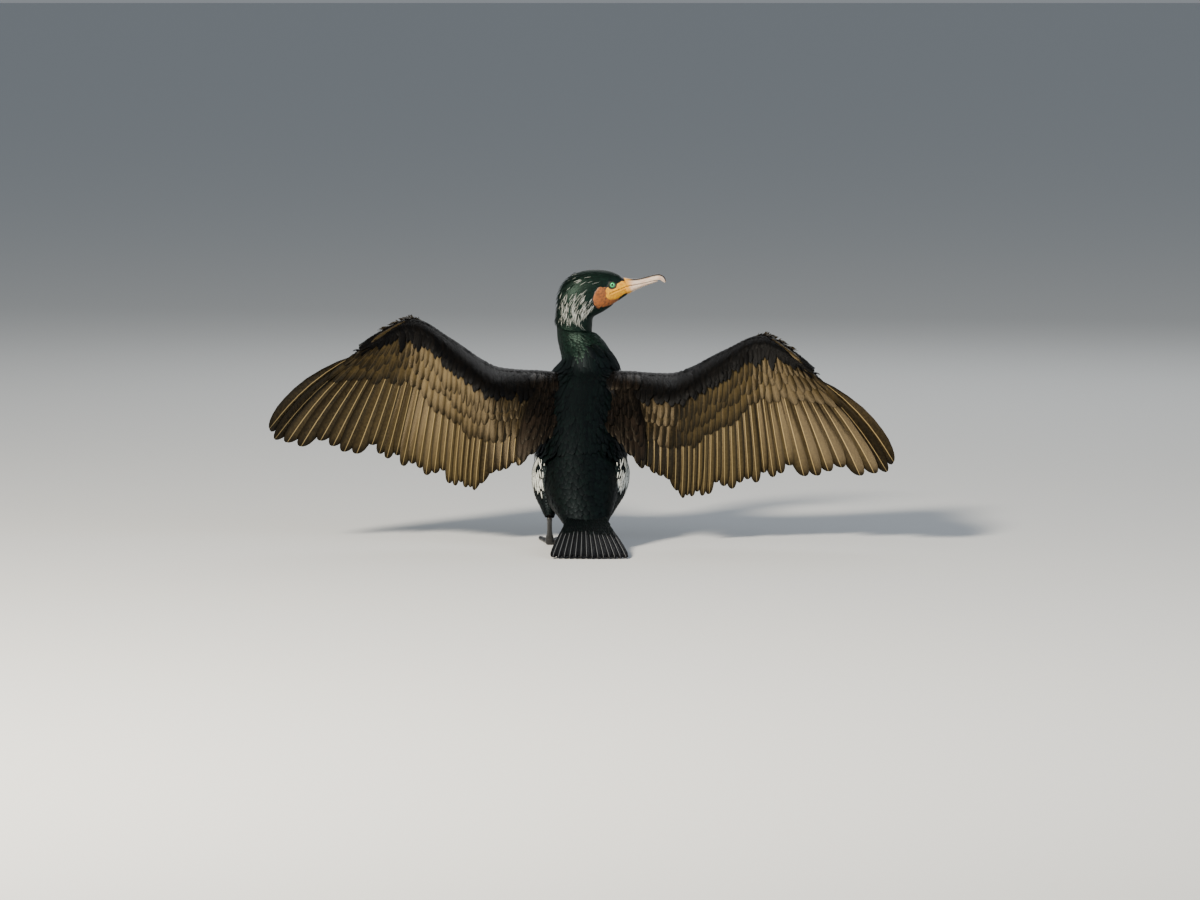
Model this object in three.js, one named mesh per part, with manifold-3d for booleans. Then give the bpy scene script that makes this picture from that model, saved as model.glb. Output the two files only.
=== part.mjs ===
// Great cormorant, life size, standing with both wings held half open to dry and its head turned to its right.
// Millimetres. The bird faces +Y, +X is its right side and +Z is up. Its toes and the tip of its tail lie on Z = 0.

import * as THREE from "three";
import { mergeVertices } from "three/addons/utils/BufferGeometryUtils.js";
import Module from "manifold-3d";

const wasm = await Module();
wasm.setup();

// Driving sizes
const GAP = 0.3; // between neighbouring pieces
const RING_POINTS = 18; // round the trunk, neck and head
const WING_RAISE = { right: -3.5, left: 3.5 }; // degrees, how far each wing is tipped up at the shoulder
const SHOULDER = new THREE.Vector3(60, 60, 235); // the point each wing tips about
const REMIGES = 24; // flight feathers beyond the elbow, 14 of them on the forearm
const RECTRICES = 14;
const SHINGLE = 1.95; // how far each feather stands over its outer neighbour
const CAMBER = 6; // how far the wing's surface bows up between the bones and the tips
const OUTER_BOW = 17; // how far the outermost feather bows in the wing's surface

// Rings of the trunk from rump to shoulders: middle X, spine Y, spine Z, belly Y, belly Z, half width
const TRUNK = [
  [2, -114, 50, -98, 33, 32],
  [0, -96, 76, -68, 40, 41],
  [-4, -70, 110, -30, 47, 52],
  [-6, -40, 148, 20, 65, 61],
  [-6, -5, 188, 75, 107, 65],
  [-3, 28, 222, 112, 157, 63],
  [0, 48, 243, 132, 205, 57],
  [2, 63, 257, 137, 244, 47],
];
// Rings of the neck: centre X, Y, Z, half depth, half width, turn of its back towards the left in degrees
const NECK = [
  [1, 107, 275, 32, 38, 5],
  [-8, 116, 293, 28, 32, 25],
  [-15.5, 118, 310, 26, 28, 55],
];
// Rings of the head, turned to the right: back or crown X, Z, throat X, Z, half width
const HEAD = [
  [-43, 325, 10.5, 327, 24.5],
  [-42, 341, 12.5, 335, 24.5],
  [-41, 357, 18, 339, 24.5],
  [-37, 375, 26, 343, 24.5],
  [-27, 391, 33, 347.5, 24],
  [-10, 402.5, 41, 353, 22.5],
  [10, 406.5, 48, 358.5, 20],
  [26, 406, 55, 363.5, 17.5],
  [40, 403.5, 60, 367, 14.5],
  [50, 399, 64, 369.5, 12],
  [58, 394.8, 67, 371, 10.3],
];
const HEAD_Y = 110; // of the plane that splits the head in two
// Rings of the two halves of the bill: ridge X, Z, cutting edge X, Z, half width
const UPPER_BILL = [
  [58.6, 394.7, 63.2, 382.3, 9.6],
  [70, 393, 72, 383.9, 7.6],
  [82, 393.8, 83.5, 386.1, 6.3],
  [94, 396.8, 95, 388.4, 5.4],
  [104, 399.3, 104.5, 390.9, 4.9],
  [112, 400.3, 111, 391.7, 4.5],
  [118, 398, 113.8, 391.2, 3.8],
  [121.5, 393, 117.2, 389, 2.5],
  [122.3, 388.2, 119.9, 387.2, 1],
];
const LOWER_BILL = [
  [67.4, 370.9, 63.5, 381.6, 9.3],
  [76, 375.2, 72.2, 383.1, 7.2],
  [86, 380, 83.6, 385.3, 5.8],
  [96, 383.9, 95, 387.6, 4.7],
  [104.5, 386.9, 104.2, 390.1, 3.8],
  [109.6, 388.7, 109.6, 390.9, 2.6],
];
const EYE = { x: 41, z: 384.5, radius: 6, out: 11.2 }; // out is the eyeball's distance from the head's middle plane

// Lines of the right wing from the trunk out. Each knot is a place along the wing, then X, Y, Z. The elbow is at
// -0.5 and the wrist at 13.5. Flight feathers grow at the whole numbers between and beyond them.
const LEADING_EDGE = [
  [-11, 38, 91, 250],
  [-7.5, 69, 93, 251],
  [-4, 104, 93, 251],
  [-0.5, 145, 94, 257],
  [7, 214, 98, 296],
  [13.5, 266, 101, 319],
  [18.5, 312, 83, 300],
  [23.6, 352, 62, 274],
];
const BONE_LINE = [
  [-11, 38, 52, 213],
  [-7.5, 70, 43, 218],
  [-4, 105, 34, 219],
  [-0.5, 141, 28, 222],
  [6.5, 201, 52, 257.5],
  [13.5, 261, 76, 293],
  [23.6, 343, 56, 264],
];
const TIP_LINE = [
  [-10, 55, -16, 150],
  [-7, 81, -22, 131],
  [-4, 110, -14, 112],
  [-2, 131, -8, 104],
  [-0.7, 147, -4, 90],
  [0.5, 159, 0, 77],
  [2, 171, 5, 79],
  [5, 196, 12, 91],
  [9, 242, 17, 104.5],
  [13, 290, 16, 120.5],
  [15, 316, 8, 128],
  [18, 373, -15, 128],
  [21, 440, -42, 133],
  [22, 459, -51, 137],
  [23, 467, -59, 154],
];
const CORE_THICK = [
  [-11, 27],
  [-7.5, 24],
  [-4, 20],
  [-0.5, 17],
  [7, 16],
  [13.5, 16.5],
  [18.5, 13],
  [23.6, 7],
];
const ELBOW = -0.5;
const WRIST = 13.5;
const WING_END = 23.6;
const TERTIALS = 8; // hang from the upper arm, at -1 and inwards
const SLIT = 0.05; // the gap between two lengths of the wing, in places
// Once round the flesh of the wing, as [share of its chord, share of its thickness]
const WING_SECTION = [
  [0, 0],
  [0.12, 0.38],
  [0.4, 0.5],
  [0.75, 0.4],
  [1, 0.15],
  [1, -0.15],
  [0.75, -0.36],
  [0.4, -0.42],
  [0.12, -0.3],
];

// Feathers of the wing, tier by tier: half widths inwards and outwards in places, together at most the widest in mm,
// and lift as [share, height] over the wing's middle surface. Coverts start at the share that from gives.
const FLIGHT = {
  inner: 0.9,
  outer: 0.75,
  thick: [1, 0.6], // at root and tip
  lift: [
    [0, 0],
    [1, 0],
  ],
  outline: [
    [-0.06, 0.4],
    [0.25, 0.85],
    [0.6, 1],
    [0.92, 0.75],
    [1, 0.28],
  ],
};
const FLIGHT_WIDEST = [25, 31]; // by the trunk and at the wing's tip
const COVERTS = { inner: 1.1, outer: 1, widest: 26, thick: [0.9, 0.5], slope: 1.2 };
const GREATER = {
  ...COVERTS,
  from: -0.38,
  lift: [
    [-0.38, 2],
    [0, 4.4],
    [1, 4.4],
  ],
};
const MEDIAN = {
  ...COVERTS,
  inner: 1.3,
  outer: 1.15,
  widest: 30,
  slope: 0.9,
  from: -0.6,
  lift: [
    [-0.6, 3],
    [-0.1, 8.2],
    [1, 8.6],
  ],
};
const LESSER = {
  ...COVERTS,
  inner: 1.35,
  outer: 1.25,
  widest: 32,
  slope: 0.8,
  from: -0.86,
  lift: [
    [-0.86, 2],
    [-0.5, 9.8],
    [0, 12],
    [1, 12.4],
  ],
};
// Each tier of coverts: its first and last place, the places between two feathers, and how far down the flight
// feathers it reaches, by place from the trunk outwards
const COVERT_ROWS = [
  {
    tier: GREATER,
    first: -8.28,
    last: 22.4,
    pitch: 1.48,
    reach: [
      [-10, 0.62],
      [-1, 0.6],
      [0, 0.54],
      [13, 0.42],
      [23, 0.37],
    ],
  },
  {
    tier: MEDIAN,
    first: -8.9,
    last: 21.2,
    pitch: 2.1,
    reach: [
      [-10, 0.34],
      [0, 0.33],
      [13, 0.28],
      [23, 0.2],
    ],
  },
  {
    tier: LESSER,
    first: -8.6,
    last: 15,
    pitch: 2.45,
    reach: [
      [-10, 0.12],
      [0, 0.15],
      [13, 0.14],
      [23, 0.05],
    ],
  },
];
// The long feathers of the shoulder: their places, and the share of the flight feathers that each reaches
const SCAPULARS = {
  ...COVERTS,
  ridge: 0.5,
  lift: [
    [-0.5, 3],
    [-0.12, 13.2],
    [0.36, 13.4],
    [0.7, 9.5],
    [1, 6],
  ],
};
const SCAPULAR_REACH = [
  [-10, 0.96],
  [-8.7, 1.01],
  [-7.4, 1.06],
];

// The tail's fan: half width and place of its roots and tips
const TAIL = { rootHalf: 32, rootY: -111, rootZ: 41, tipHalf: 58, tipY: -217, tipZ: 1.1, middle: 3, tipX: 7 };

// How far each leg stands from the middle: the hip and the foot. The right foot is the one drawn in.
const STANCE = { right: [47, 32], left: [59, 53] };
// Rings of a leg: share of the way from hip to foot, then Y, Z, half width, half depth
const THIGH = [
  [0, 6, 124, 17, 27],
  [0.15, -8, 100, 20.5, 28],
  [0.5, -22, 77, 18, 22],
  [0.85, -32, 58, 11, 13.5],
  [1, -37, 47, 6.5, 8],
];
const TARSUS = [
  [1, -37.3, 46.4, 4.6, 6.6],
  [1, -28, 37, 3.8, 5.6],
  [1, -14, 23, 3.8, 5.4],
  [1, -5, 13.5, 5, 6],
];
// Toes: turn outwards from straight ahead in degrees, length without claw, radius at root and tip
const TOES = {
  inner_back: [-104, 27, 4.2, 3],
  inner: [-36, 49, 4.6, 3.1],
  middle: [-10, 68, 4.8, 3.2],
  outer: [11, 80, 4.8, 3.2],
};
// Heel: ring centre Y, Z, half width, half depth
const HEEL = [
  [-5, 14.5, 5.4, 6.4],
  [-3, 9, 6.4, 7.6],
  [-1, 3, 6.6, 8.4],
  [0, 0, 5.4, 7],
];
const CLAW = { length: 10, radius: 2.4 };

const v3 = (x, y, z) => new THREE.Vector3(x, y, z);
const mix = ([from, to], share) => from + (to - from) * share;

/** Value of a smooth line through knots of [place, ...numbers], as an array. It runs on straight past its ends. */
function through(knots, place) {
  const inside = THREE.MathUtils.clamp(place, knots[0][0], knots.at(-1)[0]);
  let i = 0;
  while (i < knots.length - 2 && inside > knots[i + 1][0]) i += 1;
  const [a, b] = [knots[i], knots[i + 1]];
  const before = knots[i - 1] ?? a;
  const after = knots[i + 2] ?? b;
  const t = (inside - a[0]) / (b[0] - a[0]);
  return a.slice(1).map((from, k) => {
    const to = b[k + 1];
    const leave = (to - before[k + 1]) / (b[0] - before[0]);
    const arrive = (after[k + 1] - from) / (after[0] - a[0]);
    const slopes = leave * t * (1 - t) ** 2 + arrive * t * t * (t - 1);
    const value = from * (1 + 2 * t) * (1 - t) ** 2 + to * t * t * (3 - 2 * t) + slopes * (b[0] - a[0]);
    return value + (place - inside) * (place < inside ? leave : arrive);
  });
}

/** A closed geometry from points and triangles, turned so that its faces point out. */
function closed(points, faces) {
  let volume = 0;
  for (const [a, b, c] of faces) volume += points[a].dot(points[b].clone().cross(points[c]));
  const index = faces.flatMap(([a, b, c]) => (volume < 0 ? [a, c, b] : [a, b, c]));
  return new THREE.BufferGeometry().setFromPoints(points).setIndex(index);
}

/** The surface through rings of equal count, closed by a fan at each end. */
function loft(rings) {
  const count = rings[0].length;
  const points = rings.flat();
  const faces = [];
  for (let i = 0; i + 1 < rings.length; i++)
    for (let j = 0; j < count; j++) {
      const [a, b] = [i * count + j, i * count + ((j + 1) % count)];
      faces.push([a, b, b + count], [a, b + count, a + count]);
    }
  const last = (rings.length - 1) * count;
  for (const [ring, start] of [
    [rings[0], 0],
    [rings.at(-1), last],
  ]) {
    const middle = ring.reduce((sum, p) => sum.add(p), v3(0, 0, 0)).divideScalar(count);
    const hub = points.push(middle) - 1;
    for (let j = 0; j < count; j++) {
      const [a, b] = [start + j, start + ((j + 1) % count)];
      faces.push(start === 0 ? [hub, b, a] : [hub, a, b]);
    }
  }
  return closed(points, faces);
}

/** A thin closed sheet between two grids of points that are split into triangles alike. */
function sheet(upper, lower, columns) {
  const rows = upper.length / columns;
  const shift = upper.length;
  const faces = [];
  for (let i = 0; i + 1 < rows; i++)
    for (let j = 0; j + 1 < columns; j++) {
      const a = i * columns + j;
      const [b, c, d] = [a + 1, a + columns, a + columns + 1];
      faces.push([a, b, d], [a, d, c]);
      faces.push([a + shift, d + shift, b + shift], [a + shift, c + shift, d + shift]);
    }
  const rim = [];
  for (let j = 0; j < columns; j++) rim.push(j);
  for (let i = 1; i < rows; i++) rim.push(i * columns + columns - 1);
  for (let j = columns - 2; j >= 0; j--) rim.push((rows - 1) * columns + j);
  for (let i = rows - 2; i > 0; i--) rim.push(i * columns);
  rim.forEach((a, k) => {
    const b = rim[(k + 1) % rim.length];
    faces.push([a, a + shift, b + shift], [a, b + shift, b]);
  });
  return closed([...upper, ...lower], faces);
}

/** A manifold-3d solid of a three.js geometry. */
function solid(geometry) {
  const bare = new THREE.BufferGeometry().setAttribute("position", geometry.getAttribute("position"));
  if (geometry.index) bare.setIndex(geometry.index);
  const merged = mergeVertices(bare, 1e-4);
  return new wasm.Manifold(
    new wasm.Mesh({
      numProp: 3,
      vertProperties: new Float32Array(merged.attributes.position.array),
      triVerts: new Uint32Array(merged.index.array),
    }),
  );
}

/** The geometry of a manifold-3d solid's largest surface. */
function largest(body) {
  const [kept] = body.decompose().sort((a, b) => b.volume() - a.volume());
  const mesh = kept.getMesh();
  const positions = new Float32Array(mesh.numVert * 3);
  for (let i = 0; i < mesh.numVert; i++)
    positions.set(mesh.vertProperties.subarray(i * mesh.numProp, i * mesh.numProp + 3), i * 3);
  return new THREE.BufferGeometry()
    .setAttribute("position", new THREE.BufferAttribute(positions, 3))
    .setIndex(new THREE.BufferAttribute(mesh.triVerts, 1));
}

/** The pieces joined into one closed body, cut clear of its neighbours. */
function fused(pieces, neighbours = []) {
  const joined = wasm.Manifold.union(pieces.map(solid));
  return largest(neighbours.reduce((rest, other) => rest.subtract(solid(other)), joined));
}

// Finishes of the named meshes
const finish = (color, roughness, metalness = 0) => new THREE.MeshStandardMaterial({ color, roughness, metalness });
const FINISH = {
  black: finish("#10141a", 0.55),
  bronze: finish("#3a3226", 0.45),
  bill: finish("#cdb79d", 0.4),
  eye: finish("#1f8a4c", 0.1),
  foot: finish("#1b1a1a", 0.5),
  claw: finish("#26221f", 0.35),
};

const bird = new THREE.Group();

/** Adds one named mesh to the bird. */
function add(name, geometry, material) {
  const mesh = new THREE.Mesh(geometry, material);
  mesh.name = name;
  bird.add(mesh);
}

// Trunk, neck and head: rings along one line, each with its centre, back direction, half depth and half width
const BODY_RINGS = [
  ...TRUNK.map(([x, sy, sz, by, bz, width]) => ({
    at: v3(x, (sy + by) / 2, (sz + bz) / 2),
    back: v3(0, sy - by, sz - bz).normalize(),
    depth: Math.hypot(sy - by, sz - bz) / 2,
    width,
    egg: -0.08,
  })),
  ...NECK.map(([x, y, z, depth, width, turn]) => {
    const angle = THREE.MathUtils.degToRad(turn);
    const back = v3(-Math.sin(angle), -Math.cos(angle), 0.25 * Math.cos(angle));
    return { at: v3(x, y, z), back, depth, width, egg: 0 };
  }),
  ...HEAD.map(([cx, cz, tx, tz, width], i) => ({
    at: v3((cx + tx) / 2, HEAD_Y + 4 * Math.max(0, 1 - i / 3), (cz + tz) / 2),
    back: v3(cx - tx, 0, cz - tz).normalize(),
    depth: Math.hypot(cx - tx, cz - tz) / 2,
    width,
    egg: 0.035 * i,
  })),
];
const FORWARD = BODY_RINGS.map((ring, i) => {
  const [before, after] = [BODY_RINGS[Math.max(0, i - 1)], BODY_RINGS[Math.min(BODY_RINGS.length - 1, i + 1)]];
  return after.at.clone().sub(before.at).normalize();
});

/** The points of the body line's ring at a place, which may lie between two rings, grown on all sides. */
function bodyRing(place, grow = 0, shift = 0) {
  const knots = BODY_RINGS.map(({ at, back, depth, width, egg }, i) => [i, ...at, ...back, ...FORWARD[i], depth, width, egg]);
  const [x, y, z, bx, by, bz, fx, fy, fz, depth, width, egg] = through(knots, place);
  const back = v3(bx, by, bz).normalize();
  const right = v3(fx, fy, fz).cross(back).normalize();
  const ahead = back.clone().cross(right);
  const centre = v3(x, y, z).addScaledVector(ahead, shift);
  return Array.from({ length: RING_POINTS }, (_, k) => {
    const angle = (2 * Math.PI * k) / RING_POINTS;
    const side = Math.sin(angle) * (1 + egg * Math.cos(angle)) * (width + grow);
    return centre
      .clone()
      .addScaledVector(back, Math.cos(angle) * (depth + grow))
      .addScaledVector(right, side);
  });
}

/** The closed body between two rings of the body line, with half-way rings between. */
function bodyLength(from, to, { grow = 0, step = 0.5, startShift = 0, endShift = 0 } = {}) {
  const rings = [bodyRing(from, grow, startShift)];
  for (let place = from + step; place < to - 0.01; place += step) rings.push(bodyRing(place, grow));
  rings.push(bodyRing(to, grow, endShift));
  return loft(rings);
}

const TRUNK_END = TRUNK.length - 0.5;
const NECK_MIDDLE = TRUNK.length + 1.5;
const HEAD_START = TRUNK.length + NECK.length + 0.6;
const HEAD_END = BODY_RINGS.length - 1;
const grownTrunk = bodyLength(0, TRUNK_END, { grow: GAP, startShift: -GAP, endShift: GAP });
const grownNeck = bodyLength(TRUNK_END, NECK_MIDDLE, { grow: GAP });

add("neck_lower", bodyLength(TRUNK_END, NECK_MIDDLE, { startShift: GAP }), FINISH.black);
add("neck_upper", bodyLength(NECK_MIDDLE, HEAD_START, { startShift: GAP }), FINISH.black);

// How wide a loose feather is along its length, as [share of length, share of width]
const VANE_OUTLINE = [
  [0, 0.35],
  [0.45, 0.95],
  [0.85, 0.85],
  [1, 0.3],
];

/** One loose feather as a thin closed vane. Its upper face looks along chord x distal. */
function vane(root, tip, distal, size) {
  const { inner, outer, lift = [0, 0], camber = 0, thick = COVERTS.thick, outline = VANE_OUTLINE } = size;
  const chord = tip.clone().sub(root);
  const face = chord.clone().cross(distal).normalize();
  const side = face.clone().cross(chord).normalize();
  const [upper, lower] = [[], []];
  for (const [along, share] of outline) {
    const rise = mix(lift, along) + camber * 4 * along * (1 - along);
    const middle = root.clone().addScaledVector(chord, along).addScaledVector(face, rise);
    for (const reach of [-inner, outer]) {
      const point = middle.clone().addScaledVector(side, reach * share);
      upper.push(point.clone().addScaledVector(face, mix(thick, along) / 2));
      lower.push(point.clone().addScaledVector(face, -mix(thick, along) / 2));
    }
  }
  return sheet(upper, lower, 2);
}

// Head: lids, the line of the mouth and the short crest
const eyeCentre = (side) => v3(EYE.x, HEAD_Y + side * EYE.out, EYE.z);
const eyeball = (side, radius) =>
  new THREE.SphereGeometry(radius, 12, 8).rotateX(Math.PI / 2).translate(...eyeCentre(side));

/** The ring of skin round one eye. */
function lid(side) {
  const ring = new THREE.TorusGeometry(EYE.radius * 0.86, 1.1, 4, 12);
  return ring.rotateX(Math.PI / 2).rotateZ(side * -0.12).translate(EYE.x + 0.6, HEAD_Y + side * (EYE.out + 4), EYE.z);
}

/** The thin cut along one side of the face, from the bill back to the corner of the mouth. */
function mouthCut(side) {
  const [ahead, corner] = [v3(66, 0, 382.6), v3(39, 0, 371.5)];
  const run = ahead.clone().sub(corner);
  return new THREE.BoxGeometry(run.length(), 8, 0.8)
    .rotateY(-Math.atan2(run.z, run.x))
    .translate((ahead.x + corner.x) / 2, HEAD_Y + side * 16.4, (ahead.z + corner.z) / 2);
}

const CREST_LOCK = {
  inner: 3,
  outer: 3,
  thick: [2.4, 0.5],
  outline: [
    [0, 1],
    [0.5, 0.8],
    [1, 0.12],
  ],
};

/** Pointed locks along the nape, row by row, that stand a little off it. */
function crest() {
  const locks = [];
  for (const [row, place] of [0.9, 1.9, 2.9, 3.9].entries())
    for (const turn of [-40, 0, 40]) {
      const ring = TRUNK.length + NECK.length + place;
      const points = bodyRing(ring);
      const spot = Math.round((turn / 360) * RING_POINTS + (row % 2 ? 0.5 : 0) + RING_POINTS) % RING_POINTS;
      const root = points[spot];
      const middle = points.reduce((sum, p) => sum.add(p), v3(0, 0, 0)).divideScalar(RING_POINTS);
      const out = root.clone().sub(middle).normalize();
      const backward = bodyRing(ring - 0.4)[spot].clone().sub(root).normalize();
      const tip = root.clone().addScaledVector(out, 5).addScaledVector(backward, 15);
      locks.push(vane(root.clone().addScaledVector(out, -4), tip, out.clone().cross(backward), CREST_LOCK));
    }
  return locks;
}

const headPieces = [bodyLength(HEAD_START, HEAD_END, { startShift: GAP, step: 1 }), lid(-1), lid(1), ...crest()];
const headCuts = [eyeball(-1, EYE.radius + GAP), eyeball(1, EYE.radius + GAP), mouthCut(-1), mouthCut(1)];
const neckBelow = bodyLength(NECK_MIDDLE, HEAD_START, { grow: GAP, endShift: GAP });
add("head", fused(headPieces, [...headCuts, neckBelow]), FINISH.black);
add("eye_right", eyeball(-1, EYE.radius), FINISH.eye);
add("eye_left", eyeball(1, EYE.radius), FINISH.eye);

/** One half of the bill: rings that are round towards the ridge and flat at the cutting edge. */
function billHalf(rings) {
  return loft(
    rings.map(([rx, rz, ex, ez, width]) => {
      const edge = v3(ex, HEAD_Y, ez);
      const ridge = v3(rx - ex, 0, rz - ez);
      return Array.from({ length: 9 }, (_, k) => {
        const angle = (Math.PI * (k - 4)) / 8;
        return edge.clone().addScaledVector(ridge, Math.cos(angle) ** 0.8).add(v3(0, Math.sin(angle) * width, 0));
      });
    }),
  );
}
add("bill_upper", billHalf(UPPER_BILL), FINISH.bill);
add("bill_lower", billHalf(LOWER_BILL), FINISH.bill);

// Wings. A spot on the right wing is a place along it and a share: -1 at the leading edge, 0 at the bones and 1 at
// the tips
const leading = (n) => v3(...through(LEADING_EDGE, n));
const bone = (n) => v3(...through(BONE_LINE, n));
const tipOf = (n) => v3(...through(TIP_LINE, n));
const ahead = (line, n) => line(n + 0.5).sub(line(n - 0.5));

/** The wing's upward direction at a place: square to the flesh ahead of the bones and to the feathers behind them. */
function wingUp(n, share) {
  const bones = ahead(bone, n).normalize();
  const flesh = bone(n).sub(leading(n)).cross(bones).normalize();
  const outwards = ahead(tipOf, n).normalize().add(bones);
  const feathers = tipOf(n).sub(bone(n)).cross(outwards).normalize();
  return flesh.lerp(feathers, THREE.MathUtils.smoothstep(share, -0.3, 0.4)).normalize();
}

/** A point over the wing's middle surface. The outer feathers bow away from the trunk. */
function onWing(n, share, height = 0) {
  const from = bone(n);
  if (share < 0) return from.lerp(leading(n), -share).addScaledVector(wingUp(n, share), height);
  const far = Math.max(0, (n - WRIST) / (WING_END - WRIST));
  const bow = 4 * share * (1 - share);
  const aside = wingUp(n, 1).cross(tipOf(n).sub(from)).normalize();
  return from
    .lerp(tipOf(n), share)
    .addScaledVector(aside, OUTER_BOW * far * far * bow)
    .addScaledVector(wingUp(n, share), height + CAMBER * bow);
}

/** The flesh of the wing between two places: rounded at the leading edge and thin behind the bones. */
function fleshLength(from, to, grow = 0) {
  const steps = 4;
  const rings = Array.from({ length: steps + 1 }, (_, i) => {
    const n = mix([from, to], i / steps);
    const [front, rear] = [leading(n), bone(n)];
    const chord = rear.clone().sub(front).normalize();
    const up = chord.clone().cross(ahead(bone, n)).normalize();
    const thick = through(CORE_THICK, n)[0] + 2 * grow;
    front.addScaledVector(chord, -grow);
    return WING_SECTION.map(([share, rise]) =>
      front
        .clone()
        .addScaledVector(chord, share * (rear.distanceTo(front) + grow))
        .addScaledVector(up, rise * thick),
    );
  });
  return loft(rings);
}
/**
 * One feather of a row that lies on a surface. It shingles over its outer neighbour.
 * The surface gives a point for a place, a share and a height. The outline is in shares of the surface and of the
 * half widths, which are in places and together at most the widest in mm.
 */
function shingle(surface, at, { outline, lift, inner, outer, widest, thick, ridge = 0, slope = SHINGLE }) {
  const columns = ridge ? [-inner, 0, outer] : [-inner, outer];
  const [upper, lower] = [[], []];
  const [from, to] = [outline[0][0], outline.at(-1)[0]];
  for (const [share, width] of outline) {
    const along = (share - from) / (to - from);
    const pitch = surface(at + 0.5, share, 0).distanceTo(surface(at - 0.5, share, 0));
    const narrow = Math.min(1, widest / (pitch * (inner + outer)));
    for (const column of columns) {
      const aside = column * width * narrow;
      const height = through(lift, share)[0] + slope * aside + (column === 0 ? ridge * (1 - along) : 0);
      const half = mix(thick, along) / 2;
      upper.push(surface(at + aside, share, height + half));
      lower.push(surface(at + aside, share, height - half));
    }
  }
  return sheet(upper, lower, columns.length);
}

/** The outline of a covert, which is widest further up where the wing's surface twists over the upper arm. */
function covertOutline(from, to, twisted) {
  const middle = twisted
    ? [
        [0, 0.8],
        [0.38 * to, 1],
        [0.78 * to, 0.9],
      ]
    : [
        [0, 0.95],
        [0.75 * to, 0.9],
      ];
  return [[from, 0.4], ...middle, [to, 0.3]];
}

/** The feathers of the right wing between two places along it. */
function wingFeathers(from, to) {
  const made = [];
  const inside = (n) => n >= from && n <= to;
  for (let n = -TERTIALS; n < REMIGES; n++)
    if (inside(n)) {
      const widest = mix(FLIGHT_WIDEST, THREE.MathUtils.clamp(n / REMIGES, 0, 1));
      const ridge = n === -1 ? 0.4 : 0; // the last before the elbow, where the wing's surface turns most
      made.push(shingle(onWing, n, { ...FLIGHT, widest, ridge }));
    }
  for (const { tier, first, last, pitch, reach } of COVERT_ROWS)
    for (let n = first; n <= last; n += pitch)
      if (inside(n)) {
        const twisted = n < ELBOW && tier === GREATER;
        const outline = covertOutline(tier.from, through(reach, n)[0], twisted);
        made.push(shingle(onWing, n, { ...tier, outline, ridge: twisted ? 0.4 : 0 }));
      }
  return made;
}

/** The long feathers of the shoulder, which grow on the trunk and lie over the upper arm's. */
function scapulars() {
  return SCAPULAR_REACH.map(([n, to]) => {
    const outline = [
      [-0.5, 0.5],
      [-0.12, 0.8],
      [0.36, 1],
      [mix([0.36, to], 0.7), 0.9],
      [to, 0.3],
    ];
    return shingle(onWing, n, { ...SCAPULARS, outline });
  });
}

/** The three feathers of the thumb, and the tuft at the wrist. */
function thumb() {
  const made = [0, 1, 2].map((k) => {
    const tip = v3(376 - 13 * k, 46 + 2 * k, 261 + 3 * k);
    const size = { inner: 8, outer: 4.5, lift: [0, 1 + 1.6 * k], camber: 3 };
    return vane(onWing(15.6 + 0.4 * k, -0.72, 2), tip, v3(0.2, 0.3, 1), size);
  });
  for (let k = 0; k < 5; k++) {
    const place = 13.9 + 0.75 * k;
    const tip = onWing(place, -1).add(v3(1.5 + 1.2 * k, -5, 6 - 0.8 * (k % 2) - k));
    made.push(vane(onWing(place, -0.85), tip, v3(0.6, -0.2, -0.4), { inner: 2.6, outer: 2.6, thick: [2, 0.5] }));
  }
  return made;
}

/** Brings a piece of the right wing to its side and tips it at the shoulder. */
function placed(geometry, side) {
  geometry
    .translate(...SHOULDER.clone().negate())
    .rotateY(THREE.MathUtils.degToRad(-WING_RAISE[side]))
    .translate(...SHOULDER);
  if (side === "right") return geometry;
  geometry.scale(-1, 1, 1);
  const index = geometry.index.array;
  for (let i = 0; i < index.length; i += 3) [index[i + 1], index[i + 2]] = [index[i + 2], index[i + 1]];
  return geometry;
}

const shoulders = [];
const armSpaces = [];
for (const side of ["right", "left"]) {
  const here = (pieces) => pieces.map((piece) => placed(piece, side));
  const lengths = [
    [-11, ELBOW - SLIT],
    [ELBOW, WRIST],
    [WRIST + SLIT, WING_END],
  ];
  const space = here(lengths.map(([from, to]) => fleshLength(from, to, GAP)));
  const flesh = lengths.map(([from, to]) => fleshLength(from, to));
  const feathers = lengths.map(([from, to]) => wingFeathers(from, to));
  shoulders.push(...here(scapulars()));
  armSpaces.push(space[0]);
  const [arm, forearm, hand] = lengths.map((_, i) => here([flesh[i], ...feathers[i], ...(i === 2 ? thumb() : [])]));
  add(`wing_${side}_arm`, fused(arm, [grownTrunk, grownNeck, space[1]]), FINISH.black);
  add(`wing_${side}_forearm`, fused(forearm, [space[0], space[2], grownTrunk]), FINISH.bronze);
  add(`wing_${side}_hand`, fused(hand, [space[1]]), FINISH.bronze);
}

const trunk = bodyLength(0, TRUNK_END);
const clearShoulders = shoulders.map((feather) => fused([feather], [...armSpaces, grownNeck]));
add("torso", fused([trunk, ...clearShoulders]), FINISH.black);

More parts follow.
